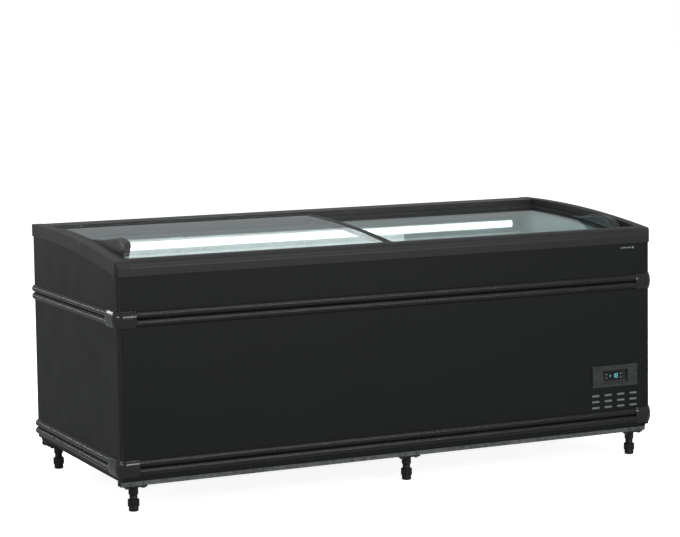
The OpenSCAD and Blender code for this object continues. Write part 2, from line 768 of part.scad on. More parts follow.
module foot_rear_middle() { foot(leg_xs[1], leg_ys[1]); }
module foot_rear_right() { foot(leg_xs[2], leg_ys[1]); }

// ---------------------------------------------------------------- lids
lip_w = 5.7;
glass_x0 = lid_x0 + end_frame_w - glass_bite;
glass_x1 = lid_x1 - seal_bar_w + glass_bite;
module lid_glass(front_y, rear_y, drop) {
    along_x(glass_x0, glass_x1)
        rim_band(front_y + lip_w + gap, rear_y - lip_w - gap, drop, drop + glass_t);
}
module lid_side(x0, x1, front_y, rear_y, drop) {
    difference() {
        along_x(x0, x1) rim_band(front_y + runner_w + gap, rear_y - runner_w - gap,
            drop - bar_proud, drop + frame_hang);
        along_x(glass_x0 - gap, glass_x1 + gap)
            rim_band(front_y, rear_y, drop - 0.2, drop + glass_t + 0.2);
    }
}
// Straight-edged strip from z0 up to the rim line less a drop
module strip(x0, x1, y0, y1, z0, drop) {
    along_x(x0, x1) polygon([[y0, z0], [y1, z0], [y1, rim_z(y1, drop)], [y0, rim_z(y0, drop)]]);
}
module runner(y0, y1, lip_y0, lip_y1, z0, drop) {
    strip(lid_x0, lid_x1, y0, y1, z0, drop + glass_t + 0.2);
    strip(lid_x0, lid_x1, lip_y0, lip_y1, z0, drop);
    strip(lid_x0, glass_x0 - gap, y0, y1, z0, drop - bar_proud);
    strip(glass_x1 + gap, lid_x1, y0, y1, z0, drop - bar_proud);
}
module lid_runners(front_y, rear_y, drop) {
    runner(front_y, front_y + runner_w, front_y, front_y + lip_w, slide_z(front_y, drop), drop);
    runner(rear_y - runner_w, rear_y, rear_y - lip_w, rear_y, slide_z(rear_y, drop), drop);
}
module upper_lid_glass() {
    color("#9fb8b6") place() lid_glass(upper_front_y, upper_rear_y, upper_drop);
}
module upper_lid_end_frame() {
    color("#242424") place()
        lid_side(lid_x0, lid_x0 + end_frame_w, upper_front_y, upper_rear_y, upper_drop);
}
module upper_lid_seal_bar() {
    color("#1c1c1c") place()
        lid_side(lid_x1 - seal_bar_w, lid_x1, upper_front_y, upper_rear_y, upper_drop);
}
module upper_lid_runners() {
    color("#242424") place() lid_runners(upper_front_y, upper_rear_y, upper_drop);
}
module lower_lid_glass() {
    color("#9fb8b6") place() mirrored() lid_glass(lower_front_y, lower_rear_y, lower_drop);
}
module lower_lid_end_frame() {
    color("#242424") place() mirrored()
        lid_side(lid_x0, lid_x0 + end_frame_w, lower_front_y, lower_rear_y, lower_drop);
}
module lower_lid_seal_bar() {
    color("#1c1c1c") place() mirrored()
        lid_side(lid_x1 - seal_bar_w, lid_x1, lower_front_y, lower_rear_y, lower_drop);
}
module lower_lid_runners() {
    color("#242424") place() mirrored() lid_runners(lower_front_y, lower_rear_y, lower_drop);
}
handle_y0 = upper_front_y + 52;
handle_x = lid_x0 + end_frame_w - 1;
// Stations along a handle: distance from its front, outer height, inner height, lean, as parts
// of the handle's length, height, height and lean
HANDLE = [[0, 0.2, 0.2, 0.1], [0.016, 0.67, 0.67, 0.45], [0.06, 0.8, 0.85, 0.7],
    [0.15, 0.88, 0.97, 0.9], [0.29, 0.86, 1, 1], [0.5, 0.62, 0.74, 0.8],
    [0.72, 0.3, 0.34, 0.4], [1, 0.06, 0.06, 0]];
module handle_slice(s, drop) {
    y = handle_y0 + s[0] * handle_l;
    z = rim_z(y, drop) + bar_proud + 0.2;
    lean = s[3] * handle_lean;
    translate([0, y, z]) rotate([90, 0, 0]) linear_extrude(0.5)
        polygon([[handle_x, 0], [handle_x + handle_w, 0],
            [handle_x + handle_w + lean, s[2] * handle_h], [handle_x + lean * 0.65, s[1] * handle_h]]);
}
// Wing-shaped handle, high near the lid's front corner and falling away to the back
module lid_handle(drop) {
    for (i = [0:len(HANDLE) - 2]) hull() {
        handle_slice(HANDLE[i], drop);
        handle_slice(HANDLE[i + 1], drop);
    }
}
module upper_lid_handle() { color("#343434") place() lid_handle(upper_drop); }
module lower_lid_handle() { color("#343434") place() mirrored() lid_handle(lower_drop); }

// ---------------------------------------------------------------- machine bay
module compressor() {
    z0 = base_z + 22;
    h = 172;
    dome = 34;
    color("#1d1f20") place() translate([bay_mid_x, compressor_y, z0]) {
        rotate_extrude() difference() {
            rect(0, 0, compressor_r, h);
            translate([compressor_r, h]) mirror([1, 0]) mirror([0, 1]) spandrel(dome);
            translate([compressor_r, 0]) mirror([1, 0]) spandrel(dome / 2);
            rect(0, 6, compressor_r - 18, h - 18);
        }
        translate([0, 0, h / 2 - 6]) rotate_extrude() rect(compressor_r - 1, 0, compressor_r + 3, 12);
    }
}
mount_dx = 90;
mount_dy = 62;
module compressor_mounts() {
    color("#2a2a2a") place() translate([bay_mid_x, compressor_y, base_z + pan_t]) {
        for (dx = [-mount_dx, mount_dx], dy = [-mount_dy, mount_dy])
            translate([dx, dy, 0]) {
                rod([0, 0, 0], 26, 6);
                rod([0, 0, 5], 18, 13);
            }
        translate([0, 0, 18]) difference() {
            box(-mount_dx - 15, -mount_dy - 15, 0, mount_dx + 15, mount_dy + 15, 3);
            rod([0, 0, -1], 60, 5);
        }
    }
}
tube_rows = 6;
tube_pitch = condenser_h / tube_rows;
function tube_y(k) = condenser_y + condenser_d * (k == 0 ? 0.28 : 0.72);
function tube_z(j) = base_z + 6 + tube_pitch * (j + 0.5);
module condenser() {
    fins = 26;
    fin_pitch = (condenser_l - 20) / (fins - 1);
    color("#a9adad") place() {
        for (i = [0:fins - 1]) {
            thick = i == 0 || i == fins - 1 ? 1.5 : 0.6;
            x = condenser_x + 10 + i * fin_pitch;
            along_x(x, x + thick) difference() {
                rect(condenser_y, base_z + 6, condenser_y + condenser_d, base_z + 6 + condenser_h);
                for (j = [0:tube_rows - 1], k = [0, 1])
                    translate([tube_y(k), tube_z(j)]) circle(d = pipe_d + 0.2);
            }
        }
        for (j = [0:tube_rows - 1], k = [0, 1])
            rod_x([condenser_x, tube_y(k), tube_z(j)], pipe_d, condenser_l);
        for (j = [0:tube_rows - 1])
            for (x = [condenser_x, condenser_x + condenser_l])
                translate([x, (tube_y(0) + tube_y(1)) / 2, tube_z(j)])
                    rotate([0, 0, x == condenser_x ? 90 : -90]) rotate_extrude(angle = 180)
                        translate([(tube_y(1) - tube_y(0)) / 2, 0]) circle(d = pipe_d);
    }
}
fan_d = 140;
module fan_shroud() {
    color("#4a4e4e") place() difference() {
        union() {
            box(condenser_x + 12, shroud_y, base_z + 4, condenser_x + condenser_l - 12, shroud_y + 2,
                base_z + 8 + condenser_h);
            rod_y([bay_mid_x, shroud_y, fan_z], fan_d + 14, 30);
        }
        rod_y([bay_mid_x, shroud_y - 1, fan_z], fan_d + 8, 40);
    }
}
motor_y = shroud_y + 44;
module fan_motor() {
    color("#2b2d2d") place() {
        difference() {
            rod_y([bay_mid_x, motor_y, fan_z], 76, 46);
            rod_y([bay_mid_x, motor_y - 1, fan_z], 6.1, 30);
        }
        difference() {
            for (side = [-1, 1])
                box(bay_mid_x + side * 66 - 36, motor_y + 16, fan_z - 8,
                    bay_mid_x + side * 66 + 36, motor_y + 19, fan_z + 8);
            rod_y([bay_mid_x, motor_y, fan_z], 76, 46);
        }
        for (side = [-1, 1])
            box(bay_mid_x + side * 104 - 2, motor_y + 16, base_z + pan_t,
                bay_mid_x + side * 104 + 2, motor_y + 31, fan_z + 8);
    }
}
blades = 5;
module fan_blades() {
    hub_y = shroud_y + 8;
    color("#5a5e5e") place() translate([bay_mid_x, hub_y, fan_z]) rotate([-90, 0, 0]) {
        rod([0, 0, 0], 44, 20);
        rod([0, 0, 19], 6, 38);
        intersection() {
            rod([0, 0, -5], fan_d, 30);
            for (i = [0:blades - 1]) rotate([0, 0, i * 360 / blades])
                translate([18, 0, 10]) rotate([28, 0, 0]) translate([0, -24, -1])
                    cube([fan_d / 2, 48, 2]);
        }
    }
}
module electrical_box() {
    x0 = bay_x + 16;
    y0 = body_d - 240;
    color("#8a8f90") place() {
        difference() {
            box(x0, y0, base_z + pan_t, x0 + 80, y0 + 110, base_z + 130);
            box(x0 + 2, y0 + 2, base_z + 4, x0 + 78, y0 + 108, base_z + 128);
        }
        box(x0 + 12, y0 + 20, base_z + 4, x0 + 50, y0 + 90, base_z + 60);
    }
}
module elbow(p) { translate(p) sphere(d = pipe_d); }
module refrigerant_pipes() {
    left_x = bay_mid_x - compressor_r - 3;
    right_x = bay_mid_x + compressor_r + 3;
    turn_x = bay_x + 32;
    line_x = body_l - 22;
    line_z = tube_z(1);
    drier_y = condenser_y + 120;
    color("#b87f4a") place() {
        rod_x([bay_x + 15, stub_y, coil_z0], pipe_d, turn_x - bay_x - 15);
        elbow([turn_x, stub_y, coil_z0]);
        rod_y([turn_x, stub_y, coil_z0], pipe_d, compressor_y - stub_y);
        elbow([turn_x, compressor_y, coil_z0]);
        rod_x([turn_x, compressor_y, coil_z0], pipe_d, left_x - turn_x);
        rod_x([right_x, compressor_y, line_z], pipe_d, line_x - right_x);
        elbow([line_x, compressor_y, line_z]);
        rod_y([line_x, tube_y(0), line_z], pipe_d, compressor_y - tube_y(0));
        rod_y([line_x, drier_y, line_z], 20, 90);
        elbow([line_x, tube_y(0), line_z]);
    }
}
module cable_gland() {
    color("#191919") place() difference() {
        union() {
            rod_y([gland_x, body_d, gland_z], 28, rear_out);
            rod_y([gland_x, body_d - 24, gland_z], gland_d, 25);
        }
        rod_y([gland_x, body_d - 30, gland_z], 9, 40);
    }
}
module drain_pipe() {
    z1 = floor_z + liner_t;
    color("#d5d8d6") place() difference() {
        union() {
            rod([drain_x, body_d / 2, leg_h + 2], drain_d, z1 - leg_h - 2);
            rod([drain_x, body_d / 2, z1], 44, 2);
        }
        rod([drain_x, body_d / 2, leg_h], 16, z1 + 10 - leg_h);
    }
}

// ---------------------------------------------------------------- controller
case_x0 = bezel_x - case_l / 2;
case_x1 = bezel_x + case_l / 2;
case_z0 = case_z - case_h / 2;
case_z1 = case_z + case_h / 2;
module controller_bezel() {
    pocket_z1 = case_z1 + 6;
    color("#4b4b4b") place() difference() {
        union() {
            box(bezel_x - bezel_l / 2, -bezel_t, bezel_z - bezel_h / 2,
                bezel_x + bezel_l / 2, 0, bezel_z + bezel_h / 2);
            box(bezel_x - pocket_l / 2 - 4, -1, case_z0 - 20, bezel_x + pocket_l / 2 + 4,
                case_y + 6, case_z1 + 9);
        }
        along_x(bezel_x - pocket_l / 2, bezel_x + pocket_l / 2) polygon([[-bezel_t - 1, pocket_z1],
            [case_y + 1, pocket_z1 - 2], [case_y + 1, case_z0 - 2], [-bezel_t - 1, case_z0 - 17]]);
        box(case_x0 - gap, 0, case_z0 - gap, case_x1 + gap, 50, case_z1 + gap);
        for (side = [-1, 1]) rod_y([bezel_x + side * screw_dx, -10, bezel_z], 3.8, 20);
    }
}
module key_solid(side, level, grow) {
    x = bezel_x + side * key_dx;
    z = case_z + level * key_dz;
    box(x - key_l / 2 - grow, case_y - key_proud - 4 * grow, z - key_h / 2 - grow,
        x + key_l / 2 + grow, case_y + 5 + 8 * grow, z + key_h / 2 + grow);
}
window_l = 40;
window_h = 26;
module thermostat_case() {
    color("#0e0e10") place() difference() {
        box(case_x0, case_y, case_z0, case_x1, case_y + 62, case_z1);
        box(case_x0 + 2, case_y + 14, case_z0 + 2, case_x1 - 2, case_y + 60, case_z1 - 2);
        box(bezel_x - window_l / 2, case_y - 1, case_z - window_h / 2,
            bezel_x + window_l / 2, case_y + 3, case_z + window_h / 2);
        for (side = [-1, 1], level = [-1, 1]) key_solid(side, level, key_clear);
    }
}
module display_window() {
    color("#07191c") place() box(bezel_x - window_l / 2 + 0.2, case_y - 0.5, case_z - window_h / 2 + 0.2,
        bezel_x + window_l / 2 - 0.2, case_y + 3, case_z + window_h / 2 - 0.2);
}
module key_up() { color("#1a1a1c") place() key_solid(-1, 1, 0); }
module key_down() { color("#1a1a1c") place() key_solid(-1, -1, 0); }
module key_set() { color("#1a1a1c") place() key_solid(1, 1, 0); }
module key_light() { color("#1a1a1c") place() key_solid(1, -1, 0); }
module bezel_screws() {
    color("#8c8c8c") place() for (side = [-1, 1]) {
        rod_y([bezel_x + side * screw_dx, -bezel_t - 2, bezel_z], 7, 2);
        rod_y([bezel_x + side * screw_dx, -bezel_t - 0.5, bezel_z], 3.5, 14);
    }
}
module name_plate() {
    plate_x = body_l - 125.5;
    plate_z = front_z0 - 21;
    color("#9aa3a2") place() box(plate_x, -0.8, plate_z, plate_x + 66, 0, plate_z + 12);
}

front_panel();
left_side_panel();
right_side_panel();
rear_panel();
rear_grille();
corner_trims();
base_pan();
tank_liner();
foam_insulation();
evaporator_coil();
machine_bay_cover();
front_top_rail();
rear_top_rail();
left_end_cap();
right_end_cap();
breaker_frame();
front_bumpers();
side_bumpers();
bumper_corner_caps();
led_housing();
led_diffuser();
base_rails();
leg_brackets();
leg_sockets();
leg_bolts();
foot_front_left();
foot_front_middle();
foot_front_right();
foot_rear_left();
foot_rear_middle();
foot_rear_right();
upper_lid_glass();
upper_lid_end_frame();
upper_lid_seal_bar();
upper_lid_runners();
upper_lid_handle();
lower_lid_glass();
lower_lid_end_frame();
lower_lid_seal_bar();
lower_lid_runners();
lower_lid_handle();
compressor();
compressor_mounts();
condenser();
fan_shroud();
fan_motor();
fan_blades();
electrical_box();
refrigerant_pipes();
controller_bezel();
thermostat_case();
display_window();
key_up();
key_down();
key_set();
key_light();
bezel_screws();
drain_pipe();
cable_gland();
name_plate();
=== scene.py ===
"""Finishes and fine shapes of a supermarket chest freezer with two curved sliding glass lids.

Everything is in metres, with +Z up and the origin on the floor under the middle of the cabinet.
Along the curved rim, y is in millimetres from the front face.
"""

import json
import math

import bpy
from mathutils import Matrix, Vector


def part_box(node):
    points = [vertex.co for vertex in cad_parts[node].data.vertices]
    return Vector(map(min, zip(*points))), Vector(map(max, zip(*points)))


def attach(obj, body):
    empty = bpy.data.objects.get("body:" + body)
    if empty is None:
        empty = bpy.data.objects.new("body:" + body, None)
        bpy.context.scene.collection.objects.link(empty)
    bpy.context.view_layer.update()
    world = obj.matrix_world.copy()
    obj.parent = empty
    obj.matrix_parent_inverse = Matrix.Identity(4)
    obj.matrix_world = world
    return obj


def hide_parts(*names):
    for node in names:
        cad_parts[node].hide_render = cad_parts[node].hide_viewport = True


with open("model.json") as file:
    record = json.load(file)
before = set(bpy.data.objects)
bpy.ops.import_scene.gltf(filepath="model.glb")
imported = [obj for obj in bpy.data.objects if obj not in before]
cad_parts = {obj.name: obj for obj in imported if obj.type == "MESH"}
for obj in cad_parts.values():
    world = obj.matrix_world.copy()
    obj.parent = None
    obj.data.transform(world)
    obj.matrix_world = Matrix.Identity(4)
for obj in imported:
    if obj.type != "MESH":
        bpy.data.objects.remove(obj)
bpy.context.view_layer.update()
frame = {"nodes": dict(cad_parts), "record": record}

bl_info = {
    "name": "Chest freezer",
    "version": (1, 0, 0),
    "blender": (4, 5, 0),
    "location": "3D View > Sidebar > Freezer",
    "description": "Makes the lids, bumpers, feet, lamp and finishes of a chest freezer",
    "category": "Object",
}

NODES = frame["nodes"]
LEFT, RIGHT = (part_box("rear_panel")[i].x for i in (0, 1))
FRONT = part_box("front_panel")[0].y
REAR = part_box("rear_panel")[1].y
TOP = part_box("left_end_cap")[1].z
MM = 0.001


# ------------------------------------------------------------------ settings
class CabinetSizes(bpy.types.PropertyGroup):
    """Sizes of the cabinet's curved top and its trims"""

    top_sag: bpy.props.FloatProperty(
        name="Top sag", description="Fall of the top from its crown to the front face",
        default=0.054, unit="LENGTH")
    crown_back: bpy.props.FloatProperty(
        name="Crown distance", description="Distance of the crown from the rear face",
        default=0.075, unit="LENGTH")
    bead_radius: bpy.props.FloatProperty(
        name="Bead radius", description="Radius of one bead of a bumper",
        default=0.01325, unit="LENGTH")
    cap_bend: bpy.props.FloatProperty(
        name="Cap bend", description="Inner radius of a corner cap's bend",
        default=0.022, unit="LENGTH")
    bead_sunk: bpy.props.FloatProperty(
        name="Bead centre", description="Depth of a bead's centre behind the panel",
        default=0.00275, unit="LENGTH")
    cap_bulge: bpy.props.FloatProperty(
        name="Cap bulge", description="Reach of a corner cap's middle from the panel",
        default=0.012, unit="LENGTH")


class LidSizes(bpy.types.PropertyGroup):
    """Sizes of the sliding lids"""

    glass: bpy.props.FloatProperty(
        name="Glass thickness", description="Thickness of the lids' glass",
        default=0.004, unit="LENGTH")
    upper_drop: bpy.props.FloatProperty(
        name="Upper lid drop", description="Depth of the upper glass below the rim",
        default=0.008, unit="LENGTH")
    lower_drop: bpy.props.FloatProperty(
        name="Lower lid drop", description="Depth of the lower glass below the rim",
        default=0.025, unit="LENGTH")
    handle_length: bpy.props.FloatProperty(
        name="Handle length", description="Length of a handle along the lid's end",
        default=0.300, unit="LENGTH")
    handle_height: bpy.props.FloatProperty(
        name="Handle height", description="Height of a handle above its lid",
        default=0.043, unit="LENGTH")


class Finishes(bpy.types.PropertyGroup):
    """Colours of the main finishes"""

    panel: bpy.props.FloatVectorProperty(
        name="Panels", description="Powder coat on the front and the sides",
        default=(0.0062, 0.0070, 0.0070), subtype="COLOR")
    trim: bpy.props.FloatVectorProperty(
        name="Trims", description="Plastic of the rails and the end caps",
        default=(0.024, 0.024, 0.024), subtype="COLOR")
    bumper: bpy.props.FloatVectorProperty(
        name="Bumpers", description="Soft plastic of the bumper strips",
        default=(0.014, 0.014, 0.014), subtype="COLOR")
    glass: bpy.props.FloatVectorProperty(
        name="Glass", description="Tint of the lids' glass",
        default=(0.80, 0.90, 0.885), subtype="COLOR")
    lamp_strength: bpy.props.FloatProperty(
        name="Lamp strength", description="Brightness of the tank's lamp", default=3.4)


def sizes():
    return bpy.context.scene.freezer_cabinet


def lids():
    return bpy.context.scene.freezer_lids


def finishes():
    return bpy.context.scene.freezer_finishes


# ------------------------------------------------------------------ places
def rim_z(y, drop=0.0):
    """Height in metres of the curved rim at y millimetres, less a drop in metres."""
    s = sizes()
    crown = (REAR - FRONT) - s.crown_back
    radius = (crown ** 2 + s.top_sag ** 2) / (2 * s.top_sag)
    return TOP - drop - radius + math.sqrt(radius ** 2 - (crown - y * MM) ** 2)


def blend(a, b, t):
    return a + (b - a) * t


def smooth(t):
    t = min(max(t, 0.0), 1.0)
    return t * t * (3 - 2 * t)


# ------------------------------------------------------------------ materials
def node(tree, kind, links=None, **values):
    """A shader node with its settings, its inputs' values and its links."""
    made = tree.nodes.new(kind)
    for key, value in values.items():
        setattr(made, key, value)
    for key, value in (links or {}).items():
        if isinstance(value, bpy.types.NodeSocket):
            tree.links.new(value, made.inputs[key])
        else:
            made.inputs[key].default_value = value
    return made


def new_material(name, colour, roughness, metallic=0.0, specular=0.5, coat=0.0):
    """An empty finish: its material, its tree and its surface shader."""
    made = bpy.data.materials.new(name)
    made.use_nodes = True
    made.diffuse_color = (*colour, 1)
    shader = made.node_tree.nodes["Principled BSDF"]
    shader.inputs["Base Color"].default_value = (*colour, 1)
    shader.inputs["Roughness"].default_value = roughness
    shader.inputs["Metallic"].default_value = metallic
    shader.inputs["Specular IOR Level"].default_value = specular
    shader.inputs["Coat Weight"].default_value = coat
    shader.inputs["Coat Roughness"].default_value = 0.12
    return made, made.node_tree, shader


def object_space(tree, stretch=(1, 1, 1)):
    place = node(tree, "ShaderNodeTexCoord")
    return node(tree, "ShaderNodeMapping", {"Vector": place.outputs["Object"], "Scale": stretch}).outputs[0]


def noise(tree, where, scale, detail=3.0, roughness=0.55):
    return node(tree, "ShaderNodeTexNoise", {"Vector": where, "Scale": scale, "Detail": detail,
                                            "Roughness": roughness}).outputs["Fac"]


def spread(tree, value, low, high, from_low=0.3, from_high=0.7):
    return node(tree, "ShaderNodeMapRange", {"Value": value, "From Min": from_low, "From Max": from_high,
                                            "To Min": low, "To Max": high}).outputs[0]


def mix_colours(tree, factor, first, second):
    made = node(tree, "ShaderNodeMix", data_type="RGBA")
    tree.links.new(factor, made.inputs[0])
    for index, value in ((6, first), (7, second)):
        if isinstance(value, bpy.types.NodeSocket):
            tree.links.new(value, made.inputs[index])
        else:
            made.inputs[index].default_value = (*value, 1)
    return made.outputs[2]


def edge_mask(tree, soft_normal):
    """1 on the corners that handling polishes, 0 on the flats."""
    flat = node(tree, "ShaderNodeNewGeometry").outputs["Normal"]
    match = node(tree, "ShaderNodeVectorMath", operation="DOT_PRODUCT")
    tree.links.new(flat, match.inputs[0])
    tree.links.new(soft_normal, match.inputs[1])
    return spread(tree, match.outputs["Value"], 1.0, 0.0, 0.90, 0.995)


def grained(name, colour, roughness, grain=900.0, depth=4e-5, mottle=0.18, mottle_scale=6.0,
            rough_span=0.06, edge=0.0006, wear=0.0, stretch=(1, 1, 1), **more):
    """Coated or moulded finish: fine grain, slow changes of tone and sheen, softened and worn edges."""
    made, tree, shader = new_material(name, colour, roughness, **more)
    where = object_space(tree, stretch)
    broad = noise(tree, where, mottle_scale, 4.0)
    fine = noise(tree, where, grain, 2.0)
    light = tuple(min(c * (1 + mottle), 1.0) for c in colour)
    dark = tuple(c * (1 - mottle) for c in colour)
    tone = mix_colours(tree, spread(tree, broad, 0, 1), dark, light)
    smudge = noise(tree, where, mottle_scale * 3.3, 5.0, 0.65)
    sheen = spread(tree, smudge, roughness - rough_span, roughness + rough_span)
    normal = {}
    if edge:
        soft = node(tree, "ShaderNodeBevel", {"Radius": edge}, samples=4).outputs[0]
        normal = {"Normal": soft}
        if wear:
            rubs = {0: edge_mask(tree, soft), 1: spread(tree, smudge, 0, wear)}
            rubbed = node(tree, "ShaderNodeMath", rubs, operation="MULTIPLY").outputs[0]
            tone = mix_colours(tree, rubbed, tone, tuple(min(c * 5 + 0.05, 1.0) for c in colour))
    bump = node(tree, "ShaderNodeBump", {"Height": fine, "Distance": depth, "Strength": 0.6, **normal})
    tree.links.new(tone, shader.inputs["Base Color"])
    tree.links.new(sheen, shader.inputs["Roughness"])
    tree.links.new(bump.outputs[0], shader.inputs["Normal"])
    return made


def powder_coat(name="powder_coat", colour=None, roughness=0.46):
    """Satin powder coat with its fine orange peel."""
    return grained(name, colour or tuple(finishes().panel), roughness, grain=620.0, depth=5e-5, mottle=0.12,
                   mottle_scale=2.2, rough_span=0.05, edge=0.0005, wear=0.35, specular=0.32)


def trim_plastic(name="trim_plastic", colour=None, roughness=0.42, **more):
    return grained(name, colour or tuple(finishes().trim), roughness, grain=1400.0, depth=2.5e-5,
                   mottle=0.10, mottle_scale=5.0, edge=0.0012, wear=0.25, specular=0.42, **more)


def bumper_plastic():
    """Extruded soft plastic: drawn along its length, half gloss."""
    return grained("bumper_plastic", tuple(finishes().bumper), 0.27, grain=500.0, depth=2e-5, mottle=0.2,
                   mottle_scale=9.0, edge=0.0, rough_span=0.07, stretch=(0.25, 0.25, 1.6), specular=0.5)


def gloss_plastic(name="gloss_plastic", colour=(0.022, 0.022, 0.022), roughness=0.2):
    return grained(name, colour, roughness, grain=1500.0, depth=1e-5, mottle=0.12, mottle_scale=14.0,
                   rough_span=0.06, edge=0.0008, wear=0.3, specular=0.5, coat=0.25)


def plain_plastic(name, colour, roughness=0.5):
    return grained(name, colour, roughness, grain=1100.0, depth=3e-5, edge=0.0004, specular=0.4)


def galvanised(name="galvanised", colour=(0.20, 0.21, 0.212), roughness=0.42):
    """Zinc coat: crystals that each turn the light their own way, and dull white bloom."""
    made, tree, shader = new_material(name, colour, roughness, metallic=0.85)
    where = object_space(tree)
    bent = node(tree, "ShaderNodeVectorMath", operation="ADD")
    wobble = node(tree, "ShaderNodeTexNoise", {"Vector": where, "Scale": 60.0, "Detail": 2.0})
    shift = node(tree, "ShaderNodeVectorMath", {0: wobble.outputs["Color"], 1: (0.012, 0.012, 0.012)},
                 operation="MULTIPLY")
    tree.links.new(where, bent.inputs[0])
    tree.links.new(shift.outputs[0], bent.inputs[1])
    crystal = node(tree, "ShaderNodeTexVoronoi", {"Vector": bent.outputs[0], "Scale": 95.0})
    level = node(tree, "ShaderNodeSeparateColor", {0: crystal.outputs["Color"]}).outputs[0]
    tone = mix_colours(tree, level, tuple(c * 0.72 for c in colour), tuple(c * 1.3 for c in colour))
    bloom = noise(tree, where, 7.0, 6.0, 0.7)
    tone = mix_colours(tree, spread(tree, bloom, 0.0, 0.35, 0.45, 0.8), tone, (0.42, 0.44, 0.44))
    tree.links.new(tone, shader.inputs["Base Color"])
    tree.links.new(spread(tree, level, roughness - 0.1, roughness + 0.12, 0, 1), shader.inputs["Roughness"])
    bump = node(tree, "ShaderNodeBump", {"Height": level, "Distance": 2e-5, "Strength": 0.4})
    tree.links.new(bump.outputs[0], shader.inputs["Normal"])
    return made


def drawn_metal(name, colour, roughness=0.3, metallic=1.0, along=(1, 40, 40)):
    """Rolled or drawn metal with fine lines along one way."""
    made, tree, shader = new_material(name, colour, roughness, metallic=metallic)
    lines = noise(tree, object_space(tree, along), 60.0, 3.0)
    cloud = noise(tree, object_space(tree), 16.0, 4.0)
    tree.links.new(mix_colours(tree, spread(tree, cloud, 0, 1), tuple(c * 0.85 for c in colour),
                               tuple(min(c * 1.1, 1) for c in colour)), shader.inputs["Base Color"])
    tree.links.new(spread(tree, lines, roughness - 0.1, roughness + 0.12), shader.inputs["Roughness"])
    bump = node(tree, "ShaderNodeBump", {"Height": lines, "Distance": 2e-5, "Strength": 0.5})
    tree.links.new(bump.outputs[0], shader.inputs["Normal"])
    return made


def liner_coat():
    """White coated lining with a frost bloom that thickens towards the top."""
    made, tree, shader = new_material("liner_coat", (0.62, 0.68, 0.68), 0.35, specular=0.5)
    where = object_space(tree)
    height = node(tree, "ShaderNodeSeparateXYZ", {0: where}).outputs["Z"]
    frost = noise(tree, where, 26.0, 8.0, 0.72)
    rise = spread(tree, height, -0.35, 0.25, 0.25, 0.76)
    amount = node(tree, "ShaderNodeMath", {0: frost, 1: rise}, operation="ADD").outputs[0]
    amount = spread(tree, amount, 0.0, 0.75, 0.45, 0.9)
    tone = mix_colours(tree, amount, (0.50, 0.58, 0.575), (0.78, 0.84, 0.84))
    tree.links.new(tone, shader.inputs["Base Color"])
    tree.links.new(spread(tree, amount, 0.3, 0.75, 0, 0.75), shader.inputs["Roughness"])
    bump = node(tree, "ShaderNodeBump", {"Height": noise(tree, where, 420.0, 4.0), "Distance": 0.0003,
                                         "Strength": 0.35})
    tree.links.new(bump.outputs[0], shader.inputs["Normal"])
    return made


def lid_glass_material():
    """Clear safety glass with a faint green tint and hand smears in its gloss."""
    made, tree, shader = new_material("lid_glass", tuple(finishes().glass), 0.02)
    shader.inputs["Transmission Weight"].default_value = 1.0
    shader.inputs["IOR"].default_value = 1.46
    smear = noise(tree, object_space(tree, (1, 3, 1)), 5.0, 6.0, 0.7)
    tree.links.new(spread(tree, smear, 0.0, 0.045, 0.5, 0.8), shader.inputs["Roughness"])
    return made


def glass_edge_material():
    """Ground edge of the glass, where the green of its thickness shows."""
    return grained("glass_edge", (0.10, 0.19, 0.18), 0.32, grain=800.0, depth=2e-5, mottle=0.25,
                   mottle_scale=12.0, edge=0.0, specular=0.6)


def lit_material(name, colour, strength, dull=(0.8, 0.8, 0.8)):
    """A surface that shines by itself, a little uneven like a moulded lens."""
    made, tree, shader = new_material(name, dull, 0.4)
    shader.inputs["Emission Color"].default_value = (*colour, 1)
    uneven = noise(tree, object_space(tree), 35.0, 2.0)
    tree.links.new(spread(tree, uneven, strength * 0.92, strength * 1.05), shader.inputs["Emission Strength"])
    return made


def filter_mesh():
    """Pale knitted filter: a fine square mesh over a soft mottle."""
    made, tree, shader = new_material("filter_mesh", (0.30, 0.34, 0.33), 0.7, specular=0.3)
    where = object_space(tree)
    threads = node(tree, "ShaderNodeTexWave", {"Vector": where, "Scale": 320.0, "Distortion": 0.4},
                   bands_direction="X")
    rows = node(tree, "ShaderNodeTexWave", {"Vector": where, "Scale": 320.0, "Distortion": 0.4},
                bands_direction="Z")
    weave = node(tree, "ShaderNodeMath", {0: threads.outputs["Fac"], 1: rows.outputs["Fac"]},
                 operation="MULTIPLY").outputs[0]
    tree.links.new(mix_colours(tree, spread(tree, weave, 0, 1, 0.1, 0.7), (0.24, 0.28, 0.27),
                               (0.40, 0.45, 0.44)), shader.inputs["Base Color"])
    bump = node(tree, "ShaderNodeBump", {"Height": weave, "Distance": 0.0002, "Strength": 0.6})
    tree.links.new(bump.outputs[0], shader.inputs["Normal"])
    return made


def foam_material():
    return grained("insulating_foam", (0.60, 0.50, 0.24), 0.9, grain=350.0, depth=0.0004, mottle=0.15,
                   mottle_scale=20.0, edge=0.0, specular=0.2)


def fin_material():
    return drawn_metal("fin_stock", (0.55, 0.57, 0.57), 0.38, along=(40, 1, 1))


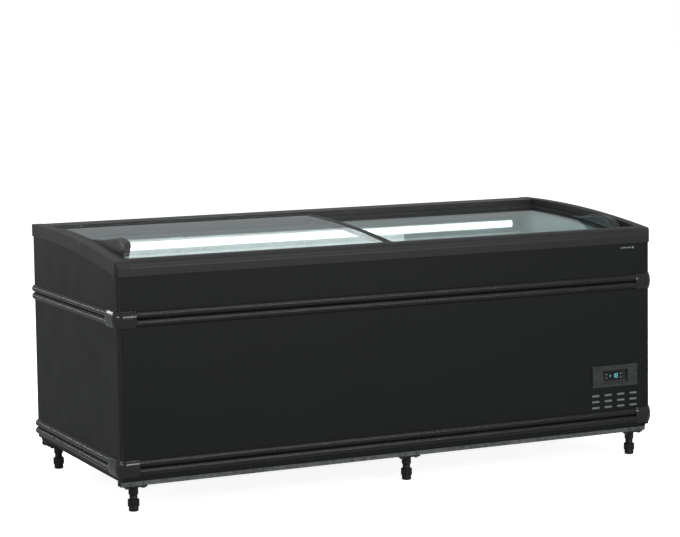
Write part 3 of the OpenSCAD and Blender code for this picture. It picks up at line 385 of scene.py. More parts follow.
# One finish for each material slot of the record
FINISH = {
    "painted_sheet": powder_coat,
    "painted_side": lambda: powder_coat("powder_coat_side", (0.0100, 0.0102, 0.0102), 0.48),
    "rear_sheet": lambda: powder_coat("powder_coat_rear", (0.016, 0.016, 0.016), 0.55),
    "grille_plastic": lambda: plain_plastic("grille_plastic", (0.018, 0.018, 0.018), 0.5),
    "trim_plastic": lambda: trim_plastic("corner_trim_plastic", (0.016, 0.016, 0.016)),
    "pan_steel": lambda: powder_coat("pan_coat", (0.010, 0.010, 0.010), 0.6),
    "liner_sheet": liner_coat,
    "foam": foam_material,
    "coil_metal": lambda: drawn_metal("coil_tube", (0.56, 0.40, 0.28), 0.35),
    "cover_steel": lambda: galvanised("galvanised_cover", (0.36, 0.38, 0.38), 0.45),
    "rail_plastic": lambda: trim_plastic("rail_plastic", (0.025, 0.025, 0.025), 0.38),
    "cap_plastic": lambda: trim_plastic("cap_plastic", (0.028, 0.028, 0.028), 0.47),
    # Breaker strip: a white plastic coloured a darker teal, which is painted shade from under the rails and
    # the painted green cast of the glass over it
    "breaker_plastic": lambda: plain_plastic("breaker_plastic", (0.23, 0.33, 0.32), 0.4),
    "bumper_rubber": bumper_plastic,
    "corner_plastic": lambda: gloss_plastic("corner_plastic", (0.020, 0.020, 0.020), 0.15),
    "lamp_metal": lambda: drawn_metal("lamp_metal", (0.55, 0.60, 0.60), 0.35),
    "lamp_lens": lambda: lit_material("lamp_lens", (0.86, 1.0, 0.98), finishes().lamp_strength),
    "base_steel": lambda: galvanised("galvanised", (0.19, 0.20, 0.197), 0.46),
    "bracket_steel": lambda: powder_coat("bracket_coat", (0.011, 0.011, 0.011), 0.45),
    "socket_plastic": lambda: plain_plastic("socket_plastic", (0.010, 0.010, 0.010), 0.48),
    "bolt_steel": lambda: drawn_metal("bolt_zinc", (0.22, 0.22, 0.22), 0.4),
    "foot_plastic": lambda: plain_plastic("foot_plastic", (0.009, 0.0095, 0.0095), 0.42),
    "lid_glass": lid_glass_material,
    "lid_frame": lambda: trim_plastic("lid_frame_plastic", (0.012, 0.012, 0.012), 0.4),
    "seal_plastic": lambda: trim_plastic("seal_plastic", (0.008, 0.008, 0.008), 0.35),
    "handle_plastic": lambda: gloss_plastic("handle_plastic", (0.027, 0.027, 0.027), 0.36),
    "compressor_paint": lambda: gloss_plastic("compressor_enamel", (0.007, 0.007, 0.007), 0.22),
    "mount_rubber": lambda: plain_plastic("mount_rubber", (0.012, 0.012, 0.012), 0.7),
    "fin_metal": fin_material,
    "shroud_plastic": lambda: plain_plastic("shroud_plastic", (0.035, 0.037, 0.037), 0.5),
    "motor_steel": lambda: powder_coat("motor_coat", (0.015, 0.016, 0.016), 0.45),
    "fan_metal": lambda: drawn_metal("fan_sheet", (0.40, 0.42, 0.42), 0.4),
    "box_plastic": lambda: plain_plastic("box_plastic", (0.20, 0.22, 0.22), 0.5),
    "pipe_copper": lambda: drawn_metal("copper_tube", (0.75, 0.33, 0.19), 0.28),
    "bezel_plastic": lambda: grained("bezel_plastic", (0.046, 0.049, 0.049), 0.5, grain=420.0, depth=1.2e-4,
                                     mottle=0.25, mottle_scale=30.0, edge=0.0014, wear=0.7, specular=0.45),
    "case_plastic": lambda: gloss_plastic("case_plastic", (0.006, 0.006, 0.007), 0.16),
    "window_plastic": lambda: gloss_plastic("window_plastic", (0.003, 0.006, 0.007), 0.08),
    "key_plastic": lambda: plain_plastic("key_plastic", (0.05, 0.052, 0.053), 0.4),
    "screw_steel": lambda: drawn_metal("screw_zinc", (0.20, 0.21, 0.21), 0.35),
    "pipe_plastic": lambda: plain_plastic("pipe_plastic", (0.60, 0.62, 0.61), 0.45),
    "gland_plastic": lambda: plain_plastic("gland_plastic", (0.012, 0.012, 0.012), 0.45),
    "plate_metal": lambda: gloss_plastic("plate_lacquer", (0.012, 0.013, 0.013), 0.3),
}


def finish_of(slot):
    """The finish of a material slot, made once."""
    made = finish_of.made.get(slot)
    if made is None:
        made = finish_of.made[slot] = FINISH[slot]()
    return made


finish_of.made = {}


def shared(name, maker):
    """A finish that several pieces share and no slot names, made once."""
    if name not in finish_of.made:
        finish_of.made[name] = maker()
    return finish_of.made[name]


# ------------------------------------------------------------------ meshes
def mesh_piece(name, verts, faces, materials, flat=False, sharp=math.radians(38), face_slots=None):
    """A piece from points and faces, with smooth shading up to a sharp angle."""
    data = bpy.data.meshes.new(name)
    data.from_pydata([tuple(v) for v in verts], [], faces)
    data.validate()
    made = bpy.data.objects.new(name, data)
    bpy.context.scene.collection.objects.link(made)
    for material in materials:
        data.materials.append(material)
    if face_slots:
        for face, slot in zip(data.polygons, face_slots):
            face.material_index = slot
    if not flat:
        data.shade_smooth()
        data.set_sharp_from_angle(angle=sharp)
    return made


def tidy_normals(made):
    """Merges doubles, then turns all faces outwards."""
    import bmesh

    work = bmesh.new()
    work.from_mesh(made.data)
    bmesh.ops.remove_doubles(work, verts=work.verts, dist=1e-6)
    bmesh.ops.recalc_face_normals(work, faces=work.faces)
    work.to_mesh(made.data)
    work.free()
    return made


def loft(rings, closed=True, capped=True, start=0):
    """Points and faces of a skin through equal rings of points."""
    count = len(rings[0])
    verts = [point for ring in rings for point in ring]
    faces = []
    for i in range(len(rings) - 1):
        for j in range(count if closed else count - 1):
            k = (j + 1) % count
            a, b = start + i * count, start + (i + 1) * count
            faces.append((a + j, a + k, b + k, b + j))
    if capped:
        faces.append(tuple(start + j for j in reversed(range(count))))
        faces.append(tuple(start + (len(rings) - 1) * count + j for j in range(count)))
    return verts, faces


def join_lofts(parts):
    """One list of points and faces from several sets of rings."""
    verts, faces = [], []
    for rings in parts:
        more, skin = loft(rings, start=len(verts))
        verts += more
        faces += skin
    return verts, faces


def finish_piece(made, body, slot, *replaced):
    """Rides a piece on its body and hides the nodes that it stands for. Its slot is not used."""
    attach(made, body)
    if replaced:
        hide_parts(*replaced)
    return made


def bevelled(made, width, segments=2, angle=35):
    mod = made.modifiers.new("soft_edges", "BEVEL")
    mod.width = width
    mod.segments = segments
    mod.limit_method = "ANGLE"
    mod.angle_limit = math.radians(angle)
    mod.harden_normals = False
    return made


def bar_rings(lo, hi):
    """Two rings of a straight bar between two corners in metres, along X."""
    ring = [(lo.y, lo.z), (hi.y, lo.z), (hi.y, hi.z), (lo.y, hi.z)]
    return [[Vector((x, y, z)) for y, z in ring] for x in (lo.x, hi.x)]


# ------------------------------------------------------------------ repeated pieces
def scatter_tree(name, mesh_object, material):
    """Geometry Nodes tree that sets one shape on a grid, with named counts and spacings."""
    tree = bpy.data.node_groups.new(name, "GeometryNodeTree")
    face = tree.interface
    face.new_socket("Geometry", in_out="OUTPUT", socket_type="NodeSocketGeometry")
    for label, kind, value in (("Columns", "NodeSocketInt", 1), ("Rows", "NodeSocketInt", 1),
                               ("Width", "NodeSocketFloat", 1.0), ("Height", "NodeSocketFloat", 0.0),
                               ("Centre", "NodeSocketVector", (0, 0, 0)),
                               ("Turn", "NodeSocketVector", (0, 0, 0))):
        socket = face.new_socket(label, in_out="INPUT", socket_type=kind)
        socket.default_value = value
    group_in = tree.nodes.new("NodeGroupInput")
    group_out = tree.nodes.new("NodeGroupOutput")
    link = tree.links.new
    grid = tree.nodes.new("GeometryNodeMeshGrid")
    for source, target in (("Columns", "Vertices X"), ("Rows", "Vertices Y"), ("Width", "Size X"),
                           ("Height", "Size Y")):
        link(group_in.outputs[source], grid.inputs[target])
    points = tree.nodes.new("GeometryNodeMeshToPoints")
    link(grid.outputs["Mesh"], points.inputs["Mesh"])
    shape = tree.nodes.new("GeometryNodeObjectInfo")
    shape.inputs["Object"].default_value = mesh_object
    copies = tree.nodes.new("GeometryNodeInstanceOnPoints")
    link(points.outputs[0], copies.inputs["Points"])
    link(shape.outputs["Geometry"], copies.inputs["Instance"])
    place = tree.nodes.new("GeometryNodeTransform")
    link(copies.outputs[0], place.inputs["Geometry"])
    link(group_in.outputs["Centre"], place.inputs["Translation"])
    link(group_in.outputs["Turn"], place.inputs["Rotation"])
    real = tree.nodes.new("GeometryNodeRealizeInstances")
    link(place.outputs[0], real.inputs[0])
    paint = tree.nodes.new("GeometryNodeSetMaterial")
    paint.inputs["Material"].default_value = material
    link(real.outputs[0], paint.inputs["Geometry"])
    link(paint.outputs[0], group_out.inputs[0])
    return tree


def scattered(name, shape, material, columns, rows, width, height, centre, turn=(math.pi / 2, 0, 0)):
    """A grid of one shape, made by Geometry Nodes and turned into a plain mesh."""
    holder = bpy.data.objects.new(name + "_holder", bpy.data.meshes.new(name + "_holder"))
    bpy.context.scene.collection.objects.link(holder)
    tree = scatter_tree(name + "_grid", shape, material)
    mod = holder.modifiers.new("grid", "NODES")
    mod.node_group = tree
    values = {"Columns": columns, "Rows": rows, "Width": width, "Height": height,
              "Centre": tuple(centre), "Turn": turn}
    for item in tree.interface.items_tree:
        if item.in_out == "INPUT" and item.name in values:
            mod[item.identifier] = values[item.name]
    bpy.context.view_layer.update()
    seen = holder.evaluated_get(bpy.context.evaluated_depsgraph_get())
    data = bpy.data.meshes.new_from_object(seen)
    data.name = name
    made = bpy.data.objects.new(name, data)
    bpy.context.scene.collection.objects.link(made)
    bpy.data.objects.remove(holder)
    bpy.data.objects.remove(shape)
    return made


def merged(name, pieces):
    """One piece from several plain ones that share their finish."""
    with bpy.context.temp_override(active_object=pieces[0], selected_objects=pieces,
                                   selected_editable_objects=pieces):
        bpy.ops.object.join()
    pieces[0].name = pieces[0].data.name = name
    return pieces[0]


# ------------------------------------------------------------------ lids
ARC_STEPS = 56


def build_lid_glass(which, drop):
    """Curved pane with a ground edge."""
    lo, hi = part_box(f"{which}_lid_glass")
    y0, y1 = (lo.y - FRONT) / MM, (hi.y - FRONT) / MM
    thick = lids().glass
    steps = [blend(y0, y1, i / ARC_STEPS) for i in range(ARC_STEPS + 1)]
    ring = [(y, rim_z(y, drop)) for y in steps] + [(y, rim_z(y, drop + thick)) for y in reversed(steps)]
    rings = [[Vector((x, FRONT + y * MM, z)) for y, z in ring] for x in (lo.x, hi.x)]
    verts, faces = loft(rings)
    edges = {ARC_STEPS, 2 * ARC_STEPS + 1}
    slots = [1 if i in edges else 0 for i in range(len(ring))] + [1, 1]
    finishes_of_pane = [finish_of("lid_glass"), shared("glass_edge", glass_edge_material)]
    made = mesh_piece(f"{which}_glass_pane", verts, faces, finishes_of_pane, face_slots=slots)
    tidy_normals(made)
    made.visible_shadow = False
    return finish_piece(made, f"{which}_lid", "lid_glass", f"{which}_lid_glass")


# Stations along a handle: distance, outer height, inner height and lean as parts of its own sizes
WING = ((0.0, 0.24, 0.24, 0.05), (0.012, 0.56, 0.56, 0.3), (0.04, 0.76, 0.78, 0.6), (0.09, 0.86, 0.92, 0.8),
        (0.16, 0.89, 0.985, 0.92), (0.28, 0.86, 1.0, 1.0), (0.40, 0.76, 0.9, 0.93), (0.52, 0.59, 0.7, 0.78),
        (0.66, 0.37, 0.43, 0.5), (0.80, 0.19, 0.21, 0.26), (0.92, 0.09, 0.1, 0.1), (1.0, 0.05, 0.05, 0.0))


def wing_at(t):
    """Outer height, inner height and lean at a distance along the handle, smoothed between stations."""
    for before, after in zip(WING, WING[1:]):
        if t <= after[0]:
            part = (t - before[0]) / (after[0] - before[0])
            return [blend(a, b, part) for a, b in zip(before[1:], after[1:])]
    return list(WING[-1][1:])


def wing_ring(t, foot, lean_full, height):
    """Cross-section of a handle: (distance in from its outer foot, height), going round once."""
    outer, inner, lean = wing_at(t)
    lean *= lean_full
    outer *= height
    inner *= height
    hollow = 0.0045 * smooth((t - 0.08) / 0.16) * smooth((0.72 - t) / 0.2)
    top_out, top_in = Vector((lean * 0.65, outer)), Vector((foot + lean, inner))
    foot_in = Vector((foot, 0))
    rise = [Vector((0, 0)).lerp(top_out, k / 6) for k in range(6)]
    radius = min(0.0042, outer * 0.45)
    across = (top_in - top_out)
    run = across.normalized() if across.length > 1e-6 else Vector((1, 0))
    up = Vector((-run.y, run.x))
    crown = []
    for k in range(7):
        a = math.pi / 2 * k / 6
        crown.append(top_out + run * radius * (1 - math.cos(a)) - up * radius * (1 - math.sin(a)))
    for k in range(7):
        a = math.pi / 2 * k / 6
        crown.append(top_in - run * radius * (1 - math.sin(a)) - up * radius * (1 - math.cos(a)))
    fall = []
    for k in range(1, 9):
        s = k / 8
        dent = hollow * math.sin(math.pi * min(s / 0.8, 1.0)) ** 1.5
        fall.append((top_in - up * radius).lerp(foot_in, s) - Vector((dent, 0)))
    return rise[:-1] + crown + fall


HANDLE_FOOT = 0.019
HANDLE_LEAN = 0.019
HANDLE_LIFT = 0.0012


def build_handle(which, drop):
    """Wing-shaped handle, swept back, with a finger hollow along its inner side."""
    lo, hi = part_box(f"{which}_lid_handle")
    length, height = lids().handle_length, lids().handle_height
    side = 1 if which == "upper" else -1
    x0 = lo.x if side > 0 else hi.x
    y0 = (lo.y - FRONT) / MM
    count = 64
    rings = []
    for i in range(count + 1):
        t = (i / count) ** 1.5
        y = y0 + t * length / MM
        base = rim_z(y, drop) + HANDLE_LIFT
        outline = wing_ring(t, HANDLE_FOOT, HANDLE_LEAN, height)
        rings.append([Vector((x0 + side * x, FRONT + y * MM, base + h)) for x, h in outline])
    gloss = [finish_of("handle_plastic")]
    wing = tidy_normals(mesh_piece(f"{which}_handle_wing", *loft(rings), gloss, sharp=math.radians(50)))
    return finish_piece(bevelled(wing, 0.0008), f"{which}_lid", "handle_plastic", f"{which}_lid_handle")


# ------------------------------------------------------------------ bumpers
def bead_outline(height, radius, steps=14):
    """(outward, up) points of a strip with two beads, closed along its back."""
    points = [(0.0, 0.0)]
    centre = height / 4
    reach = math.asin(min((centre - 0.0003) / radius, 1.0))
    for k in (1, 3):
        for i in range(steps + 1):
            turn = blend(-reach, reach, i / steps)
            out = max(radius * math.cos(turn) - sizes().bead_sunk, 0.0003)
            points.append((out, k * centre + radius * math.sin(turn)))
        if k == 1:
            points.append((0.0006, 2 * centre))
    return points + [(0.0, height)]


BUMPER_HEIGHT = 0.053


def bumper_rows():
    """Lower edges of the two rows of bumpers."""
    lo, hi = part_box("front_bumpers")
    return lo.z, hi.z - BUMPER_HEIGHT


def build_front_bumpers():
    lo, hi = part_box("front_bumpers")
    outline = bead_outline(BUMPER_HEIGHT, sizes().bead_radius)
    parts = []
    for z in bumper_rows():
        parts.append([[Vector((x, FRONT - out, z + up)) for out, up in outline] for x in (lo.x, hi.x)])
    made = mesh_piece("front_bumper_strips", *join_lofts(parts), [finish_of("bumper_rubber")])
    return finish_piece(tidy_normals(made), "cabinet", "bumper_rubber", "front_bumpers")


def build_side_bumpers():
    lo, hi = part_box("side_bumpers")
    outline = bead_outline(BUMPER_HEIGHT, sizes().bead_radius)
    parts = []
    for wall, side in ((LEFT, -1), (RIGHT, 1)):
        for z in bumper_rows():
            ends = [[Vector((wall + side * out, y, z + up)) for out, up in outline] for y in (lo.y, hi.y)]
            parts.append(ends)
    made = mesh_piece("side_bumper_strips", *join_lofts(parts), [finish_of("bumper_rubber")])
    return finish_piece(tidy_normals(made), "cabinet", "bumper_rubber", "side_bumpers")


CAP_OVERHANG = 0.0015
CAP_EDGE = 0.0065
CAP_SOFT = 0.0034
CAP_END = 0.0016
CAP_FRONT_LEG, CAP_SIDE_LEG = 0.062, 0.090


def quarter(count, reach):
    """(back, over) steps of a quarter round, from its far end to its near one."""
    turns = [math.pi / 2 * k / count for k in range(count + 1)]
    return [(reach * (1 - math.sin(a)), reach * (1 - math.cos(a))) for a in turns]


def bulge_outline(bulge, inset, steps=16):
    """(outward, up) points of a corner cap: a shallow bulge with steep soft edges, closed along its back."""
    half = BUMPER_HEIGHT / 2 + CAP_OVERHANG
    radius = (half ** 2 + (bulge - CAP_EDGE) ** 2) / (2 * (bulge - CAP_EDGE))
    reach = half - CAP_SOFT
    shares = [2 * i / steps - 1 for i in range(steps + 1)]
    depth = [bulge - radius + math.sqrt(radius ** 2 - (reach * share) ** 2) for share in shares]
    lower = [(depth[0] - back - inset, -half + inset + over) for back, over in quarter(5, CAP_SOFT)[:-1]]
    middle = [(out - inset, (reach - inset) * share) for out, share in zip(depth, shares)]
    upper = [(out, -up) for out, up in reversed(lower)]
    ring = [(0.0, -half + inset)] + lower + middle + upper + [(0.0, half - inset)]
    return [(max(out, 0.0), up + BUMPER_HEIGHT / 2) for out, up in ring]


def cap_stations(wall, side):
    """(place, way out, inset) along a corner cap, from its front end round the corner to its side end."""
    bend = sizes().cap_bend
    front_way, side_way = Vector((0, -1, 0)), Vector((-side, 0, 0))
    middle = Vector((wall + side * bend, FRONT + bend, 0))
    ends = quarter(4, CAP_END)
    thirds = (1 / 3, 2 / 3)
    stations = []
    for inset, step in ends:
        stations.append((Vector((wall + side * (CAP_FRONT_LEG - step), FRONT, 0)), front_way, inset))
    for t in thirds:
        along = blend(CAP_FRONT_LEG - CAP_END, bend, t)
        stations.append((Vector((wall + side * along, FRONT, 0)), front_way, 0.0))
    for i in range(25):
        turn = math.pi / 2 * i / 24
        way = Vector((-side * math.sin(turn), -math.cos(turn), 0))
        stations.append((middle + way * bend, way, 0.0))
    for t in thirds:
        stations.append((Vector((wall, FRONT + blend(bend, CAP_SIDE_LEG - CAP_END, t), 0)), side_way, 0.0))
    for inset, step in reversed(ends):
        stations.append((Vector((wall, FRONT + CAP_SIDE_LEG - step, 0)), side_way, inset))
    return stations


def build_corner_caps():
    """Convex caps that lead each bumper round the front corners, with crisp, slightly rounded ends."""
    bulge = sizes().cap_bulge
    parts = []
    for wall, side in ((LEFT, 1), (RIGHT, -1)):
        for z in bumper_rows():
            rings = []
            for place, way, inset in cap_stations(wall, side):
                outline = bulge_outline(bulge, inset)
                rings.append([place + way * out + Vector((0, 0, z + up)) for out, up in outline])
            parts.append(rings)
    finish = [finish_of("corner_plastic")]
    made = mesh_piece("corner_cap_mouldings", *join_lofts(parts), finish, sharp=math.radians(46))
    return finish_piece(tidy_normals(made), "cabinet", "corner_plastic", "bumper_corner_caps")


# ------------------------------------------------------------------ feet
FOOT_RIBS = 20
RIB_DEPTH = 0.9
THREAD_PITCH, THREAD_TURNS, THREAD_START = 1.75, 14, 54.3
BASE = ((0.0, 0.0), (12.6, 0.0), (14.6, 0.6), (15.7, 2.0), (16.0, 3.8), (16.0, 15.2), (15.4, 16.0))
COLLAR_FOOT = ((17.9, 16.2), (18.7, 16.8))
COLLAR_RIBBED = ((19.0, 17.8), (19.0, 27.0), (19.0, 37.6))
COLLAR_TOP = ((18.5, 38.8), (17.4, 39.6), (14.2, 40.1))
NECK = ((13.2, 40.4), (13.0, 41.2), (13.0, 53.2), (12.4, 54.0), (6.0, 54.0))
STEM_TOP = ((5.0, 79.4), (4.0, 80.0), (0.0, 80.0))


def foot_profile():
    """(radius, height, ribbed) up the outside of a levelling foot, in millimetres."""
    thread = []
    for i in range(THREAD_TURNS):
        thread.append((5.9, THREAD_START + i * THREAD_PITCH))
        thread.append((5.1, THREAD_START + (i + 0.5) * THREAD_PITCH))
    plain_below, plain_above = BASE + COLLAR_FOOT, COLLAR_TOP + NECK + tuple(thread) + STEM_TOP
    rows = ((plain_below, 0), (COLLAR_RIBBED, 1), (plain_above, 0))
    return [(radius, z, ribbed) for points, ribbed in rows for radius, z in points]


def build_feet():
    """A ribbed levelling foot on each of its bodies."""
    around = FOOT_RIBS * 6
    turns = [2 * math.pi * j / around for j in range(around)]
    for name in [n for n in NODES if n.startswith("foot_")]:
        lo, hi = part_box(name)
        middle = Vector(((lo.x + hi.x) / 2, (lo.y + hi.y) / 2, lo.z))
        rings = []
        for radius, z, ribbed in foot_profile():
            ring = []
            for a in turns:
                r = radius - ribbed * RIB_DEPTH * max(0.0, -math.cos(FOOT_RIBS * a)) ** 0.6
                ring.append(middle + Vector((r * math.cos(a) * MM, r * math.sin(a) * MM, z * MM)))
            rings.append(ring)
        made = mesh_piece(name + "_moulding", *loft(rings, capped=False), [finish_of("foot_plastic")])
        finish_piece(tidy_normals(made), name, "foot_plastic", name)


# ------------------------------------------------------------------ lamp
def small_box(name, size, chamfer=0.0):
    """A loose little block, centred on the origin, for a grid to repeat."""
    x, y, z = (s / 2 for s in size)
    c = chamfer
    half_ring = [(-x + c, -y), (x - c, -y), (x, -y + c), (x, y - c)]
    ring = half_ring + [(-px, -py) for px, py in half_ring]
    inner = [(px * (1 - c / x), py * (1 - c / y)) for px, py in ring]
    rings = [[Vector((a, b, -z)) for a, b in ring], [Vector((a, b, z - c)) for a, b in ring],
             [Vector((a, b, z)) for a, b in inner]]
    verts, faces = loft(rings)
    return tidy_normals(mesh_piece(name, verts, faces, [], sharp=math.radians(30)))


def build_lamp():
    """Domed light strip in its channel, with a row of lamp points under the lens."""
    lo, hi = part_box("led_diffuser")
    steps = 12
    ring = [(hi.y, lo.z), (hi.y, hi.z)]
    middle, half = (lo.z + hi.z) / 2, (hi.z - lo.z) / 2
    for i in range(steps + 1):
        a = math.pi / 2 - math.pi * i / steps
        ring.append((lo.y + 0.004 - 0.004 * math.cos(a), middle + half * math.sin(a)))
    rings = [[Vector((x, y, z)) for y, z in ring] for x in (lo.x, hi.x)]
    made = mesh_piece("lamp_lens_strip", *loft(rings), [finish_of("lamp_lens")])
    finish_piece(tidy_normals(made), "cabinet", "lamp_lens", "led_diffuser")
    dots = shared("lamp_points", lambda: lit_material("lamp_points", (0.45, 0.75, 0.74), 1.2))
    count = 148
    pieces = []
    for row in (-1, 1):
        shape = small_box(f"lamp_point_{row + 1}", (0.005, 0.003, 0.0016), 0.0004)
        pieces.append(scattered(f"lamp_points_{row + 1}", shape, dots, count, 1, hi.x - lo.x - 0.02, 0.0,
                                ((lo.x + hi.x) / 2, lo.y + 0.0016, middle + row * half * 0.78)))
    finish_piece(merged("lamp_point_rows", pieces), "cabinet", "lamp_lens")


# ------------------------------------------------------------------ controller and vents
SEGMENTS = {"a": (0, 1, 0), "b": (1, 0.5, 1), "c": (1, -0.5, 1), "d": (0, -1, 0), "e": (-1, -0.5, 1),
            "f": (-1, 0.5, 1), "g": (0, 0, 0)}
LIT = {"-": "g", "1": "bc", "8": "abcdefg"}


BAR_HALF = 0.0008
BAR_GAP = 0.0004
DIGIT_SLANT = 0.12
MARK_DEPTH = 0.0006


def segment_ring(x, z, half_length, y, upright):
    """One slanting bar of a digit, as a hexagon."""
    long, thick = half_length - BAR_GAP, BAR_HALF
    half_shape = [(-long, 0), (-long + thick, thick), (long - thick, thick)]
    shape = half_shape + [(-a, -b) for a, b in half_shape]
    if upright:
        shape = [(b, a) for a, b in shape]
    return [Vector((x + a + b * DIGIT_SLANT, y, z + b)) for a, b in shape]


def round_outline(x, z, radius, count):
    """(x, z) points of a small disc."""
    turns = [2 * math.pi * k / count for k in range(count)]
    return [(x + radius * math.cos(a), z + radius * math.sin(a)) for a in turns]


def plate_rings(front, depth):
    """Front and back outlines of a thin plate that faces the front."""
    return [front, [point + Vector((0, depth, 0)) for point in front]]


def build_display():
    """A three-place temperature reading of plain bars behind the window, and two signal dots."""
    lo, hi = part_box("display_window")
    centre, y = (lo + hi) / 2, lo.y - 0.0004
    width, height, step = 0.0084, 0.0148, 0.0128
    parts = []
    for place, digit in enumerate("-18"):
        x = centre.x + (place - 1) * step
        for key in LIT[digit]:
            dx, dz, upright = SEGMENTS[key]
            half_length = height / 4 if upright else width / 2
            bar = segment_ring(x + dx * width / 2, centre.z + dz * height / 2, half_length, y, upright)
            parts.append(plate_rings(bar, MARK_DEPTH))
    for side in (-1, 1):
        dot = round_outline(lo.x + 0.003, centre.z + side * 0.004, 0.0008, 8)
        parts.append(plate_rings([Vector((a, y, b)) for a, b in dot], MARK_DEPTH))
    glow = lit_material("reading_glow", (0.24, 0.74, 0.82), 0.95, (0.02, 0.05, 0.06))
    made = mesh_piece("temperature_reading", *join_lofts(parts), [glow], flat=True)
    finish_piece(tidy_normals(made), "cabinet", "window_plastic")


def build_key_marks():
    """A pale plain mark on each key: two arrows, a disc and a bar."""
    pale = plain_plastic("key_mark", (0.62, 0.66, 0.65), 0.5)
    shapes = {"key_up": [(-2.2, -1.3), (2.2, -1.3), (0, 1.8)],
              "key_down": [(-2.2, 1.3), (0, -1.8), (2.2, 1.3)],
              "key_set": round_outline(0, 0, 1.9, 16),
              "key_light": [(-2.4, -0.8), (2.4, -0.8), (2.4, 0.8), (-2.4, 0.8)]}
    for name, outline in shapes.items():
        lo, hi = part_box(name)
        centre = (lo + hi) / 2
        front = [Vector((centre.x + a * MM, lo.y - 0.00015, centre.z + b * MM)) for a, b in outline]
        made = mesh_piece(name + "_mark", *loft(plate_rings(front, 0.0003)), [pale], flat=True)
        finish_piece(tidy_normals(made), name.replace("key_", "") + "_key", "key_plastic")


def build_plate_marks():
    """Three plain inlays on the plate at the front rail: two thin bars and a small disc."""
    lo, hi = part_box("name_plate")
    pale = drawn_metal("plate_inlay", (0.62, 0.70, 0.69), 0.35)
    y, middle, half = lo.y - 0.00012, (lo.z + hi.z) / 2, 0.0010
    bars = ((0.006, 0.027), (0.030, 0.048))
    shapes = [[(x0, -half), (x1, -half), (x1, half), (x0, half)] for x0, x1 in bars]
    shapes.append(round_outline(0.056, 0, 0.0036, 24))
    parts = []
    for outline in shapes:
        parts.append(plate_rings([Vector((lo.x + a, y, middle + b)) for a, b in outline], 0.0003))
    made = mesh_piece("plate_inlays", *join_lofts(parts), [pale], flat=True)
    finish_piece(tidy_normals(made), "cabinet", "plate_metal")


def stadium(length, height, steps=8):
    """Outline of a slot with round ends, going round once."""
    r, reach = height / 2, (length - height) / 2
    points = []
    for side in (1, -1):
        for i in range(steps + 1):
            a = -math.pi / 2 + math.pi * i / steps
            points.append((side * (reach + r * math.cos(a)), side * r * math.sin(a)))
    return points


VENT_COLUMNS, VENT_ROWS = 4, 3
VENT_DROP = 0.029
VENT_PITCH_Z = 0.0212


def build_vents():
    """Rolled lip round each slot, and the pale filter close behind them."""
    lo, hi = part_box("controller_bezel")
    pitch_x = (hi.x - lo.x) * 0.28
    centre = Vector(((lo.x + hi.x) / 2, FRONT, lo.z - VENT_DROP - VENT_PITCH_Z))
    outer, inner = stadium(0.0362, 0.0102), stadium(0.0338, 0.0078)
    crest = [(a * 0.985, b * 0.95) for a, b in outer]
    levels = ((outer, 0.0), (outer, 0.0006), (crest, 0.0009), (inner, 0.0006), (inner, -0.0012), (outer, 0.0))
    rings = [[Vector((a, b, level)) for a, b in outline] for outline, level in levels]
    verts, faces = loft(rings, capped=False)
    shape = tidy_normals(mesh_piece("slot_lip", verts, faces, [], sharp=math.radians(60)))
    wide, tall = (VENT_COLUMNS - 1) * pitch_x, (VENT_ROWS - 1) * VENT_PITCH_Z
    coat = finish_of("painted_sheet")
    made = scattered("vent_slot_lips", shape, coat, VENT_COLUMNS, VENT_ROWS, wide, tall, centre)
    finish_piece(made, "cabinet", "painted_sheet")
    reach = Vector((wide / 2 + 0.025, 0, tall / 2 + 0.011))
    near, far = centre - reach + Vector((0, 0.0022, 0)), centre + reach + Vector((0, 0.0052, 0))
    mat = mesh_piece("vent_filter_mat", *loft(bar_rings(near, far)), [filter_mesh()], flat=True)
    finish_piece(bevelled(tidy_normals(mat), 0.0008), "cabinet", "fin_metal")


DOME = ((1.0, 0.0), (1.0, 0.25), (0.93, 0.55), (0.78, 0.82), (0.56, 0.97), (0.5, 1.0))
TURN_BACK = (-math.pi / 2, 0, 0)


def screw_shape(name, radius, height):
    """Domed screw head with a cross recess, standing on the origin along +Z."""
    around = 24
    turns = [2 * math.pi * j / around for j in range(around)]
    rings = []
    for share, z in DOME:
        r = share * radius
        rings.append([Vector((r * math.cos(a), r * math.sin(a), z * height)) for a in turns])
    for depth, size in ((1.0, 1.0), (0.35, 0.9)):
        ring = []
        for j, a in enumerate(turns):
            r = (0.44 if j % 6 in (0, 1, 5) else 0.16) * size * radius
            ring.append(Vector((r * math.cos(a), r * math.sin(a), depth * height)))
        rings.append(ring)
    verts, faces = loft(rings)
    return tidy_normals(mesh_piece(name, verts, faces, [], sharp=math.radians(35)))


